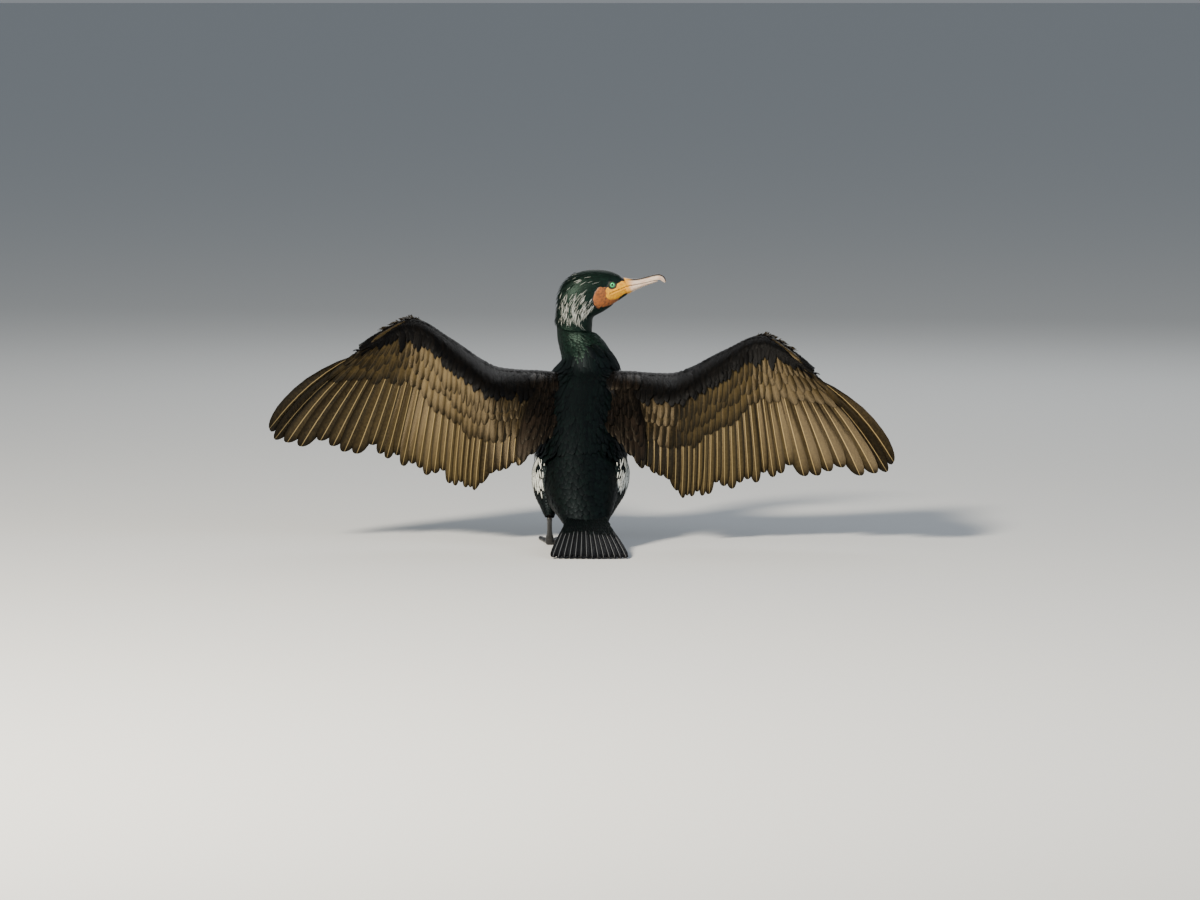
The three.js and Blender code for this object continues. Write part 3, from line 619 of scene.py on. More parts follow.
@dataclass(frozen=True)
class Plumage:
    """Feathers of keratin: a smooth, slightly oily vane whose barbs give a silky gloss along one way.

    vane and other are the two colours that feathers vary between, edge is the rim's and shaft the rib's.
    edge_from and tip_from are where the rim's colour starts, across and along. specular is the strength of
    the gloss and gloss its tint. barbs is how many bands of barbs show along one feather: the real ones are
    0.4 mm apart, and they are drawn at about 1 mm so that they show. streak is the size of the mottling.
    """

    name: str
    vane: str
    other: str
    edge: str
    shaft: str
    edge_from: float = 0.72
    tip_from: float = 0.86
    roughness: float = 0.42
    specular: float = 0.5
    gloss: str = "#ffffff"
    barbs: float = 26.0
    barb_lean: float = 0.22  # how far they sweep to the tip, as a share of the length
    barb_height: float = 0.2
    relief: float = 0.25
    streak: float = 4.0
    shaft_half: float = 0.05
    by_feather: float = 0.75  # share of the variation from feather to feather, the rest being mottling

    def build(self) -> Material:
        """Build the material from the vane attribute: share along, place across, and each feather's shade.

        Returns:
            The material.
        """
        material, tree, shader = blank(self.name, Roughness=self.roughness,
                                       Specular_IOR_Level=self.specular, Specular_Tint=self.gloss)
        vane = add(tree, "Attribute", out="Vector", attribute_name="vane")
        along, across, shade = add(tree, "SeparateXYZ", {0: vane}).node.outputs
        reach = add(tree, "Math", {0: across}, operation="ABSOLUTE")
        place = add(tree, "TexCoord", out="Object")
        cloud = add(tree, "TexNoise", {"Vector": place, "Scale": 1 / (self.streak * MM), "Detail": 3.0})
        mottle = add(tree, "MapRange", {0: cloud, 1: 0.35, 2: 0.65})
        tone = add(tree, "Math", {0: shade, 1: self.by_feather}, operation="MULTIPLY")
        both = add(tree, "Math", {0: mottle, 1: 1 - self.by_feather, 2: tone},
                   operation="MULTIPLY_ADD")
        body = add(tree, "Mix", {0: both, 6: self.vane, 7: self.other})
        edge = add(tree, "MapRange", {0: reach, 1: self.edge_from, 2: 1.0})
        tip = add(tree, "MapRange", {0: along, 1: self.tip_from, 2: 1.0})
        rim = add(tree, "Math", {0: edge, 1: tip}, operation="MAXIMUM")
        edged = add(tree, "Mix", {0: rim, 6: body, 7: self.edge})
        rib = add(tree, "MapRange", {0: reach, 1: self.shaft_half * 1.6, 2: self.shaft_half * 0.5})
        colour = add(tree, "Mix", {0: rib, 6: edged, 7: self.shaft})
        lean = add(tree, "Math", {0: reach, 1: -self.barb_lean, 2: along}, operation="MULTIPLY_ADD")
        turns = add(tree, "Math", {0: lean, 1: 2 * math.pi * self.barbs}, operation="MULTIPLY")
        wave = add(tree, "Math", {0: turns}, operation="SINE")
        height = add(tree, "Math", {0: cloud, 1: 1.5, 2: wave}, operation="MULTIPLY_ADD")
        bump = add(tree, "Bump",
                   {"Strength": self.relief, "Distance": self.barb_height * MM, "Height": height})
        fill(shader, {"Base Color": colour, "Normal": bump})
        return material


@dataclass(frozen=True)
class FaceSkin:
    """Bare skin: yellow at the gape, brown on the throat pouch, and black where feathers hide it.

    It is soft and a little moist, so it glows slightly and gives broad dull highlights. Its pimples are about
    0.5 mm wide in life, and drawn twice as coarse so that they show.
    """

    black: str = "#0b0d0f"
    yellow: str = "#d29a00"
    deep: str = "#b87400"
    pouch: str = "#8f5220"
    dusk: str = "#4e3018"
    ring: str = "#1d2318"
    pimple: float = 1.1
    patch: float = 3.0

    def build(self) -> Material:
        """Build the material from the face attribute: yellow, pouch and eye ring.

        Returns:
            The material.
        """
        material, tree, shader = blank(
            "bare_skin", Roughness=0.48, Subsurface_Weight=0.06, Subsurface_Scale=0.002)
        face = add(tree, "Attribute", out="Vector", attribute_name="face")
        yellow, pouch, ring = add(tree, "SeparateXYZ", {0: face}).node.outputs
        place = add(tree, "TexCoord", out="Object")
        spots = add(tree, "TexVoronoi", {"Vector": place, "Scale": 1 / (self.pimple * MM)})
        cloud = add(tree, "TexNoise", {"Vector": place, "Scale": 1 / (self.patch * MM), "Detail": 5.0})
        patch = add(tree, "MapRange", {0: cloud, 1: 0.36, 2: 0.74})
        colour = self.black
        for share, low, high, one, two in ((pouch, 0.35, 0.65, self.pouch, self.dusk),
                                           (yellow, 0.35, 0.65, self.yellow, self.deep),
                                           (ring, 0.3, 0.7, self.ring, self.ring)):
            step = add(tree, "MapRange", {0: share, 1: low, 2: high})
            mottled = add(tree, "Mix", {0: patch, 6: one, 7: two})
            colour = add(tree, "Mix", {0: step, 6: colour, 7: mottled})
        bump = add(tree, "Bump", {"Strength": 0.35, "Distance": 0.25 * MM, "Height": spots})
        fill(shader, {"Base Color": colour, "Normal": bump})
        return material


@dataclass(frozen=True)
class BillHorn:
    """Keratin of the bill: hard and satin, pale on its sides and dark along the ridge.

    A thin polish over it gives long soft highlights. Its growth lines are about 0.5 mm apart in life, and
    drawn three times as coarse so that they show.
    """

    side: str = "#c9b8a6"
    flush: str = "#b79a86"
    ridge: str = "#241f1c"
    base: str = "#c98f2c"
    line: float = 1.6
    stretch: tuple[float, float, float] = (0.25, 1, 1)  # the lines run along the bill

    def build(self) -> Material:
        """Build the material from the horn attribute: shares towards the ridge and the tip, and which half.

        Returns:
            The material.
        """
        material, tree, shader = blank("bill_horn", Roughness=0.34, Coat_Weight=0.15, Coat_Roughness=0.3)
        horn = add(tree, "Attribute", out="Vector", attribute_name="horn")
        ridge, along, upper = add(tree, "SeparateXYZ", {0: horn}).node.outputs
        place = add(tree, "TexCoord", out="Object")
        stretched = add(tree, "Mapping", {"Vector": place, "Scale": self.stretch})
        lines = add(tree, "TexNoise",
                    {"Vector": stretched, "Scale": 1 / (self.line * MM), "Detail": 5.0})
        flushed = add(tree, "MapRange", {0: lines, 1: 0.38, 2: 0.66})
        pale = add(tree, "Mix", {0: flushed, 6: self.side, 7: self.flush})
        near = add(tree, "MapRange", {0: ridge, 1: 0.5, 2: 0.85})
        dark = add(tree, "Math", {0: near, 1: upper}, operation="MULTIPLY")
        ridged = add(tree, "Mix", {0: dark, 6: pale, 7: self.ridge})
        root = add(tree, "MapRange", {0: along, 1: 0.16, 2: 0.02})
        colour = add(tree, "Mix", {0: root, 6: ridged, 7: self.base})
        bump = add(tree, "Bump", {"Strength": 0.2, "Distance": 0.15 * MM, "Height": lines})
        fill(shader, {"Base Color": colour, "Normal": bump})
        return material


@dataclass(frozen=True)
class EyeGloss:
    """A wet eye: an emerald iris round a black pupil, under a clear film that gives sharp glints."""

    iris: str = "#1fb868"
    rim: str = "#0b7040"
    pupil: str = "#020303"
    round_iris: str = "#07120c"

    def build(self) -> Material:
        """Build the material from the gaze attribute, whose first number is the distance from the pupil.

        Returns:
            The material.
        """
        material, tree, shader = blank("wet_eye", Roughness=0.12, Coat_Weight=1.0, Coat_Roughness=0.02)
        gaze = add(tree, "Attribute", out="Vector", attribute_name="gaze")
        away = add(tree, "SeparateXYZ", {0: gaze})
        colour = self.iris
        for low, high, after in ((EYE.pupil, EYE.iris, self.rim),
                                 (EYE.pupil + 0.15, EYE.pupil - 0.15, self.pupil),
                                 (EYE.iris, EYE.iris + 0.4, self.round_iris)):
            step = add(tree, "MapRange", {0: away, 1: low, 2: high})
            colour = add(tree, "Mix", {0: step, 6: colour, 7: after})
        fill(shader, {"Base Color": colour})
        return material


@dataclass(frozen=True)
class Scales:
    """Skin of legs and feet, or horn of claws: small hard plates that shine, with dull grooves between."""

    name: str
    plate: str
    groove: str
    size: float
    roughness: float
    relief: float

    def build(self) -> Material:
        """Build the material from the piece's own place.

        Returns:
            The material.
        """
        material, tree, shader = blank(
            self.name, Roughness=self.roughness, Coat_Weight=0.1, Coat_Roughness=0.35)
        place = add(tree, "TexCoord", out="Object")
        plates = add(tree, "TexVoronoi", {"Vector": place, "Scale": 1 / (self.size * MM)},
                     feature="DISTANCE_TO_EDGE")
        cloud = add(tree, "TexNoise", {"Vector": place, "Scale": 1 / (5 * self.size * MM)})
        raised = add(tree, "MapRange", {0: plates, 1: 0.0, 2: 0.18})
        both = add(tree, "Math", {0: raised, 1: cloud}, operation="MULTIPLY")
        colour = add(tree, "Mix", {0: both, 6: self.groove, 7: self.plate})
        bump = add(tree, "Bump", {"Strength": self.relief, "Distance": 0.3 * MM, "Height": raised})
        fill(shader, {"Base Color": colour, "Normal": bump})
        return material


def made_by(finish: Plumage | FaceSkin | BillHorn | EyeGloss | Scales) -> Material:
    """A dataclass field that holds the material that a finish builds."""
    return field(default_factory=finish.build)


@dataclass
class Finishes:
    """Every material of the bird, each built once."""

    # Small black body feathers: near black with a soft blue-grey gloss where light grazes them.
    body: Material = made_by(Plumage(
        "gloss_black_feather", "#020304", "#050d0b", "#010101", "#020303", roughness=0.44, specular=0.22,
        gloss="#a9bbc6", relief=0.12))
    # Neck and head: the same black under a green structural sheen.
    neck: Material = made_by(Plumage(
        "green_black_feather", "#030605", "#0b1c16", "#010302", "#040706", roughness=0.44, specular=0.32,
        gloss="#a6cdc0", barbs=12, relief=0.1))
    # Dense small feathers over the arm: the deepest black, with hardly any gloss.
    lesser: Material = made_by(Plumage(
        "blue_black_covert", "#020202", "#080604", "#010101", "#020202", roughness=0.44, specular=0.09,
        gloss="#c9ced6"))
    # Coverts of bronze with dark rims, which read as scales and catch a warm gloss.
    covert: Material = made_by(Plumage(
        "bronze_covert", "#40361f", "#040302", "#060503", "#332a1a", edge_from=0.4, tip_from=0.82,
        roughness=0.4, specular=0.32, gloss="#cdbb98", barbs=60, relief=0.12))
    # Flight feathers: worn bronze vanes with a warm gloss, dark rims and polished pale brown shafts.
    # Their dark rims start close to the shaft. They are partly the vanes' own dark margins and partly painted
    # shade where each vane lies under its neighbour.
    flight: Material = made_by(Plumage(
        "bronze_quill", "#3f3621", "#070503", "#040302", "#7d6e4c", edge_from=0.3, tip_from=0.9,
        roughness=0.38, specular=0.34, gloss="#cdbb98", barbs=130, relief=0.12, shaft_half=0.045))
    # Shoulder feathers: grey brown on black, duller than the wing's.
    shoulder: Material = made_by(Plumage(
        "grey_brown_scapular", "#1c1611", "#020202", "#010101", "#1a1511", edge_from=0.5, roughness=0.42,
        specular=0.14, gloss="#d0c4b0", barbs=80, relief=0.12))
    # Tail feathers: stiff and worn dull by the ground, with shafts of pale grey horn.
    tail: Material = made_by(Plumage(
        "stiff_tail_quill", "#030508", "#080b0f", "#010102", "#6d7175", edge_from=0.7, roughness=0.48,
        specular=0.16, barbs=100, relief=0.12, shaft_half=0.04))
    # Loose white plumes: dry and matt, since their barbs don't hook together.
    white: Material = made_by(Plumage(
        "white_filoplume", "#cdd1cd", "#8d9390", "#b4b8b5", "#cdd1cd", roughness=0.7, specular=0.2,
        barbs=4, relief=0.1))
    skin: Material = made_by(FaceSkin())
    bill: Material = made_by(BillHorn())
    eye: Material = made_by(EyeGloss())
    # Scales of the legs, about 2 mm wide as in life: black and leathery with a slight shine.
    foot: Material = made_by(Scales(
        "black_leg_scale", "#100f10", "#050505", 2.0, 0.42, 0.5))
    # Claws: smooth dark horn, polished by use, with faint growth marks drawn coarser than they are.
    claw: Material = made_by(Scales(
        "dark_claw_horn", "#2b2622", "#1c1815", 0.8, 0.3, 0.1))


@dataclass(frozen=True)
class BodyLine:
    """Trunk, neck and head as rings along one line. Places are ring numbers, and angles start at the back.

    Trunk rings: middle X, spine Y, Z, belly Y, Z, half width. Neck rings: X, Y, Z, half depth, half width,
    and turn in degrees. Head rings: back or crown X, Z, throat X, Z, half width.
    """

    trunk: Knots = (
        (2, -114, 50, -98, 33, 32), (0, -96, 76, -68, 40, 41), (-4, -70, 110, -30, 47, 52),
        (-6, -40, 148, 20, 65, 61), (-6, -5, 188, 75, 107, 65), (-3, 28, 222, 112, 157, 63),
        (0, 48, 243, 132, 205, 57), (2, 63, 257, 137, 244, 47))
    neck: Knots = ((1, 107, 275, 32, 38, 5), (-8, 116, 293, 28, 32, 25), (-15.5, 118, 310, 26, 28, 55))
    head: Knots = (
        (-43, 325, 10.5, 327, 24.5), (-42, 341, 12.5, 335, 24.5), (-41, 357, 18, 339, 24.5),
        (-37, 375, 26, 343, 24.5), (-27, 391, 33, 347.5, 24), (-10, 402.5, 41, 353, 22.5),
        (10, 406.5, 48, 358.5, 20), (26, 406, 55, 363.5, 17.5), (40, 403.5, 60, 367, 14.5),
        (50, 399, 64, 369.5, 12), (58, 394.8, 67, 371, 10.3))
    end: float = 21.0  # the last place
    trunk_egg: float = -0.08  # how much wider a ring is towards the back than towards the belly
    head_egg: float = 0.035  # the same, more with each ring of the head
    neck_slant: float = 0.25  # rise of the neck's back for each mm outwards
    head_back: tuple[float, int] = (4, 3)  # how far the first rings lie past the middle, and how many do
    coat_depth: Knots = ((0, 4), (7, 4), (9, 3), (11, 2.4), (14, 1.6), (17, 1.1), (21, 0.2))
    mouth: Knots = ((66, 382.6), (38, 371))  # the bill's end of the mouth line and its corner, X and Z
    mouth_cut: tuple[float, float] = (1.3, 0.75)  # depth and half width of the line
    mouth_lip: tuple[float, float, float] = (0.45, 1.9, 0.9)  # height, distance and half width of its lips
    socket: tuple[float, float] = (6.0, 4.9)  # depth and half width of the hollow round each eye
    face_from: tuple[float, float, float] = (20, 4, 345)  # least X, distance from the middle and Z
    steps: Knots = ((0, 10.6, 0.13), (10.6, 21.001, 0.04))  # first and last place, and the skin's rings
    around: int = 144  # points of each ring

    def knots(self) -> Knots:
        """Bring the three sorts of rings into one table.

        Returns:
            Rows of number, centre, back direction, forward direction, half depth, half width and egg.
        """
        rows = []
        for x, sy, sz, by, bz, width in self.trunk:
            away = np.array([0, sy - by, sz - bz])
            centre = (x, (sy + by) / 2, (sz + bz) / 2)
            rows.append((centre, away, np.linalg.norm(away) / 2, width, self.trunk_egg))
        for x, y, z, depth, width, turn in self.neck:
            angle = math.radians(turn)
            away = np.array([-math.sin(angle), -math.cos(angle), self.neck_slant * math.cos(angle)])
            rows.append(((x, y, z), away, depth, width, 0))
        past, count = self.head_back
        for i, (cx, cz, tx, tz, width) in enumerate(self.head):
            away = np.array([cx - tx, 0, cz - tz])
            centre = ((cx + tx) / 2, EYE.middle + past * max(0, 1 - i / count), (cz + tz) / 2)
            rows.append((centre, away, np.linalg.norm(away) / 2, width, self.head_egg * i))
        centres = np.array([row[0] for row in rows], float)
        last = len(rows) - 1
        forward = [unit(centres[min(i + 1, last)] - centres[max(i - 1, 0)]) for i in range(last + 1)]
        return tuple((i, *centre, *unit(away), *forward[i], depth, width, egg)
                     for i, (centre, away, depth, width, egg) in enumerate(rows))

    def surface(self, depth: bool) -> Shape:
        """The surface of the coat, or that of the skin under it.

        Args:
            depth: whether to stay inside by the coat's depth.

        Returns:
            A function of place and angle.
        """
        knots = self.knots()

        def shape(place: Array, angle: Array) -> Array:
            """Work out points round the body.

            Args:
                place: along it.
                angle: round it.

            Returns:
                Points in mm.
            """
            row = through(knots, place)
            back = unit(row[..., 3:6])
            right = unit(np.cross(row[..., 6:9], back))
            half, width, egg = row[..., 9], row[..., 10], row[..., 11]
            less = np.zeros_like(place)
            if depth:
                flat = row[..., :3] + back * (np.cos(angle) * half)[..., None]
                less = through(self.coat_depth, place)[..., 0] * (1 - self.bare(flat).max(axis=-1))
            aside = np.sin(angle) * (1 + egg * np.cos(angle)) * (width - less)
            return row[..., :3] + back * (np.cos(angle) * (half - less))[..., None] + right * aside[..., None]

        return shape

    def bare(self, points: Array) -> Array:
        """How far each point lies in the bare face.

        Args:
            points: in mm.

        Returns:
            Shares of yellow skin, throat pouch and eye ring along a new last axis.
        """
        x, z = points[..., 0], points[..., 2]

        def patch(cx: float, cz: float, long: float, short: float, turn: float) -> Array:
            """An oval patch with a wavering edge.

            Args:
                cx: its middle's X.
                cz: its middle's Z.
                long: half its length.
                short: half its width.
                turn: its tilt in degrees.

            Returns:
                1 inside it and 0 outside.
            """
            c, s = math.cos(math.radians(turn)), math.sin(math.radians(turn))
            a, b = (x - cx) * c + (z - cz) * s, -(x - cx) * s + (z - cz) * c
            waver = 0.03 * np.sin(x / 1.3 + 2 * np.sin(z / 2.3)) + 0.02 * np.sin(z / 0.9 + x / 3)
            return 1 - smooth(np.hypot(a / long, b / short) + waver, 0.88, 1.12)

        yellow = np.maximum.reduce(
            [patch(46, 371, 15, 8, 18), patch(58, 380, 12, 10, 20), patch(40, 376, 9, 7, 0)])
        pouch = np.maximum.reduce([patch(24, 366, 11, 17, -14), patch(36, 360, 18, 7.5, 20)])
        ring = patch(EYE.x, EYE.z, 7.0, 6.6, 0)
        on_head = smooth(x, -6, 4) * smooth(z, 340, 346)
        return np.stack([yellow * on_head, pouch * on_head * (1 - yellow), ring * on_head], -1)

    def skin(self) -> tuple[Array, Array]:
        """The skin from the rump to the bill, with the line of the mouth and the hollow round each eye.

        Returns:
            Its points and faces.
        """
        places = np.concatenate([np.arange(*step) for step in self.steps])
        angles = np.linspace(0, 2 * math.pi, self.around, endpoint=False)
        rings = self.surface(depth=True)(*np.meshgrid(places, angles, indexing="ij"))
        outward = unit(rings - rings.mean(axis=1, keepdims=True))
        (ax, az), (bx, bz) = self.mouth
        run = np.array([bx - ax, bz - az])
        x, z = rings[..., 0], rings[..., 2]
        t = np.clip(((x - ax) * run[0] + (z - az) * run[1]) / (run @ run), -0.2, 1)
        away = np.hypot(x - ax - t * run[0], z - az - t * run[1])
        cut, cut_half = self.mouth_cut
        lip, lip_at, lip_half = self.mouth_lip
        line = -cut * np.exp(-((away / cut_half) ** 2)) + lip * np.exp(-(((away - lip_at) / lip_half) ** 2))
        deep, wide = self.socket
        hollow = -deep * np.exp(-((np.hypot(x - EYE.x, z - EYE.z) / wide) ** 2))
        from_x, from_middle, from_z = self.face_from
        face = (z > from_z) & (x > from_x) & (np.abs(rings[..., 1] - EYE.middle) > from_middle)
        return tube(rings + outward * np.where(face, line + hollow, 0)[..., None])


BODY = BodyLine()


def staggered(count: int, row: int) -> Array:
    """Angles spread evenly round a ring, half a step on in every second row."""
    return -math.pi + (np.arange(count) + 0.5 * (row % 2)) * 2 * math.pi / count


@dataclass
class Body:
    """The trunk, neck and head with their coat.

    A coat's spacing holds knots of place and the distance between roots.
    """

    finishes: Finishes
    back: Knots = ((0, 8.6), (4, 9), (7.6, 7.5))
    neck: Knots = ((7.5, 7), (9, 5), (12.2, 3.4))
    head: Knots = ((11.6, 3.2), (15, 2.6), (21, 1.7))
    row_step: float = 0.8  # from row to row, as a share of the distance between roots
    feather: tuple[float, float] = (3.0, 0.8)  # length and half width, as shares of the same
    root_stray: float = 0.012  # in places and radians
    round_from: float = 4.0  # spacing over which feathers are round rather than pointed
    bare_from: float = 0.3  # share of bare skin over which none grow
    lookout: float = 3.0  # how far from its root a feather looks for bare skin
    crest_feathers: int = 190
    crest_length: tuple[float, float] = (9, 15)
    crest_half: tuple[float, float] = (0.9, 1.5)
    crest_tip: tuple[float, float] = (1.0, 4.6)  # how high its tips stand off
    plumes: int = 3800  # tried, of which most are left out where the head is black or bare
    plume_length: tuple[float, float] = (6, 12)
    plume_half: tuple[float, float] = (0.12, 0.2)
    plume_tip: tuple[float, float] = (1.2, 2.6)
    mantle_feather: tuple[float, float] = (30.0, 5.4)  # length and half width
    sheet: Sheet = field(init=False)

    def __post_init__(self) -> None:
        """Sample the body's surface, a little more than once round."""
        self.sheet = Sheet(BODY.surface(depth=False), (0, BODY.end), (-4.2, 4.2), (420, 168))

    def rows(self, start: float, end: float, spacing: Knots) -> tuple[Array, Array, Array]:
        """Spread roots over a stretch of the body, in staggered rows.

        Args:
            start: first place.
            end: last place.
            spacing: knots of place and the distance between roots.

        Returns:
            Places, angles and the spacing at each root.
        """
        places, angles, gaps = [], [], []
        place, row = start, 0
        ring = np.linspace(-math.pi, math.pi, 73)[:-1]
        while place < end:
            gap = float(through(spacing, place)[0])
            along, across = self.sheet.stretch(np.full(len(ring), place), ring)
            count = max(8, int(across.mean() * 2 * math.pi / gap))
            places.append(np.full(count, place))
            angles.append(staggered(count, row))
            gaps.append(np.full(count, gap))
            place += gap * self.row_step / along.mean()
            row += 1
        return np.concatenate(places), np.concatenate(angles), np.concatenate(gaps)

    def bunch(self, coat: Coat, place: Array, angle: Array, length: Array, half: Array,
              lift: tuple[Array | float, Array | float], stray: float = 0.09,
              turn: Array | float = 0.0) -> Bunch:
        """Feathers that lie backwards along the body.

        Args:
            coat: whose random draws give the small differences.
            place: of each root.
            angle: of each root.
            length: of each feather.
            half: half width of each.
            lift: heights of root and tip.
            stray: how far the feathers turn aside at random.
            turn: how far all of them turn aside.

        Returns:
            The bunch.
        """
        count = len(place)
        place = place + coat.random.normal(size=count) * self.root_stray
        angle = angle + coat.random.normal(size=count) * self.root_stray
        along, across = self.sheet.stretch(place, angle)
        yaw = coat.random.normal(size=count) * stray + turn
        length = length * coat.random.uniform(0.88, 1.12, count)
        return Bunch(place, angle,
                     (-length * np.cos(yaw) / along, length * np.sin(yaw) / across),
                     (half * np.sin(yaw) / along, half * np.cos(yaw) / across), lift)

    def coat(self, name: str, ends: tuple[float, float], spacing: Knots, material: Material,
             lift: tuple[float, float] = (-2.2, 0.1)) -> None:
        """Make one stretch of small feathers, sized by the distance between their roots.

        Args:
            name: the piece's name.
            ends: first and last place.
            spacing: knots of place and the distance between roots.
            material: the finish.
            lift: heights of roots and tips.
        """
        coat = Coat(name)
        place, angle, gap = self.rows(*ends, spacing)
        tips = place - self.lookout / self.sheet.stretch(place, angle)[0]
        bare = [BODY.bare(self.sheet.at(spot, angle, 0.0)).max(axis=-1) for spot in (place, tips)]
        clear = np.maximum(*bare) < self.bare_from
        place, angle, gap = place[clear], angle[clear], gap[clear]
        rise = coat.random.uniform(0.7, 1.3, len(place))
        length, half = self.feather
        bunch = self.bunch(coat, place, angle, gap * length, gap * half, (lift[0], lift[1] * rise))
        coat.lay(self.sheet, bunch, ROUND_TIP if gap.mean() > self.round_from else LANCE)
        coat.piece(material, Region.BODY)

    def filoplumes(self) -> None:
        """Make the fine white plumes on the cheeks, nape and upper neck, densest low on the cheek."""
        coat = Coat("white_plumes", SEED + 3)
        random = coat.random
        place = 11.2 + 6.6 * random.beta(1.6, 2.0, self.plumes)
        angle = random.uniform(0.15, 2.15, self.plumes) * random.choice([-1, 1], self.plumes)
        spots = self.sheet.at(place, angle, 0.0)
        x, z = spots[:, 0], spots[:, 2]
        clear = (BODY.bare(spots).max(axis=-1) < 0.25) & (x < 22)
        clump = 0.5 + 0.5 * np.sin(x / 2.3 + 1.7 * np.sin(z / 5)) * np.sin(z / 3.7)
        low = (1 - 0.88 * smooth(z, 352, 384)) * smooth(z, 320, 338)
        dense = low * (0.2 + 0.8 * smooth(np.abs(angle), 0.3, 1.3)) * (0.05 + clump**2)
        keep = clear & (random.random(self.plumes) < dense)
        place, angle = place[keep], angle[keep]
        count = len(place)
        bunch = self.bunch(coat, place, angle, random.uniform(*self.plume_length, count),
                           random.uniform(*self.plume_half, count),
                           (0.2, random.uniform(*self.plume_tip, count)), stray=0.13)
        coat.lay(self.sheet, bunch, HAIR)
        coat.piece(self.finishes.white, Region.BODY)

    def crest(self) -> None:
        """Make the loose pointed feathers down the nape, which stand off it."""
        coat = Coat("nape_crest", SEED + 5)
        random, count = coat.random, self.crest_feathers
        place = random.uniform(11.4, 16.2, count)
        angle = random.normal(0, 0.42, count)
        length = random.uniform(*self.crest_length, count)
        bunch = self.bunch(coat, place, angle, length, random.uniform(*self.crest_half, count),
                           (-0.5, random.uniform(*self.crest_tip, count)), stray=0.22)
        coat.lay(self.sheet, bunch, LANCE)
        coat.piece(self.finishes.neck, Region.BODY)

    def mantle(self) -> None:
        """Make the longer feathers between the shoulders, which lie down and out over the wings' roots."""
        coat = Coat("mantle", SEED + 9)
        step, last = 0.17, 8.7
        grids = np.meshgrid(np.arange(3.4, last, step), np.arange(0.0, 1.5, 0.1))
        place, angle = (grid.ravel() for grid in grids)
        angle = angle + 0.05 * (np.round(place / step) % 2)
        place, angle = np.concatenate([place, place]), np.concatenate([angle, -angle])
        keep = coat.random.random(len(place)) < 1 - smooth(place, 6.9, last)
        place, angle = place[keep], angle[keep]
        tip = 1.0 + 5.5 * smooth(np.abs(angle), 0.3, 0.8)
        length, half = (np.full(len(place), size) for size in self.mantle_feather)
        bunch = self.bunch(coat, place, angle, length, half, (-0.5, tip), stray=0.12,
                           turn=np.sign(angle) * 0.3 * np.abs(angle))
        coat.lay(self.sheet, bunch, ROUND_TIP)
        coat.piece(self.finishes.body, Region.BODY)

    def build(self) -> None:
        """Make the coat's pieces."""
        self.mantle()
        self.coat("coat_back", (0.0, 7.6), self.back, self.finishes.body)
        self.coat("coat_neck", (7.5, 12.2), self.neck, self.finishes.neck)
        self.coat("coat_head", (11.6, 20.7), self.head, self.finishes.neck, lift=(-1.0, 0.35))
        self.filoplumes()
        self.crest()


@dataclass(frozen=True)
class WingLines:
    """Lines of the right wing from the trunk out, as knots of place, X, Y, Z.

    The elbow is at -0.5 and the wrist at 13.5. Flight feathers grow at whole numbers.
    """

    leading: Knots = (
        (-11, 38, 91, 250), (-7.5, 69, 93, 251), (-4, 104, 93, 251), (-0.5, 145, 94, 257), (7, 214, 98, 296),
        (13.5, 266, 101, 319), (18.5, 312, 83, 300), (23.6, 352, 62, 274))
    bones: Knots = (
        (-11, 38, 52, 213), (-7.5, 70, 43, 218), (-4, 105, 34, 219), (-0.5, 141, 28, 222),
        (6.5, 201, 52, 257.5), (13.5, 261, 76, 293), (23.6, 343, 56, 264))
    tips: Knots = (
        (-10, 55, -16, 150), (-7, 81, -22, 131), (-4, 110, -14, 112), (-2, 131, -8, 104), (-0.7, 147, -4, 90),
        (0.5, 159, 0, 77), (2, 171, 5, 79), (5, 196, 12, 91), (9, 242, 17, 104.5), (13, 290, 16, 120.5),
        (15, 316, 8, 128), (18, 373, -15, 128), (21, 440, -42, 133), (22, 459, -51, 137), (23, 467, -59, 154))
    thick: Knots = ((-11, 27), (-7.5, 24), (-4, 20), (-0.5, 17), (7, 16), (13.5, 16.5), (18.5, 13), (23.6, 7))
    over: Knots = ((0, 0), (0.12, 0.38), (0.4, 0.5), (0.75, 0.4), (1, 0.15))  # shares of chord and thickness
    under: Knots = ((0, 0), (0.12, -0.3), (0.4, -0.42), (0.75, -0.36), (1, -0.15))
    shoulder: tuple[float, float, float] = (60, 60, 235)
    raised: tuple[float, float] = (-3.5, 3.5)  # degrees, right and left
    wrist: float = 13.5
    end: float = 23.6
    camber: float = 6.0  # how far the feathers arch upwards between root and tip
    bow: float = 17.0  # how far the outermost one bends aside

    def surface(self, n: Array, share: Array) -> Array:
        """The middle surface of the right wing.

        Args:
            n: places along it.
            share: -1 at the leading edge, 0 at the bones and 1 at the feathers' tips.

        Returns:
            Points in mm.
        """
        bone, front, tip = (through(line, n) for line in (self.bones, self.leading, self.tips))
        outwards, sweep = (unit(through(line, n + 0.5) - through(line, n - 0.5))
                           for line in (self.bones, self.tips))
        flesh = unit(np.cross(bone - front, outwards))
        feathers = unit(np.cross(tip - bone, sweep + outwards))
        blend = smooth(share, -0.3, 0.4)[..., None]
        up = unit(flesh * (1 - blend) + feathers * blend)
        behind = np.maximum(share, 0)[..., None]
        ahead = np.maximum(-share, 0)[..., None]
        arch = 4 * behind * (1 - behind)
        far = np.maximum(0, (n - self.wrist) / (self.end - self.wrist))[..., None]
        aside = unit(np.cross(feathers, tip - bone))
        point = bone + (tip - bone) * behind + (front - bone) * ahead
        return point + aside * self.bow * far**2 * arch + up * self.camber * arch


WING = WingLines()


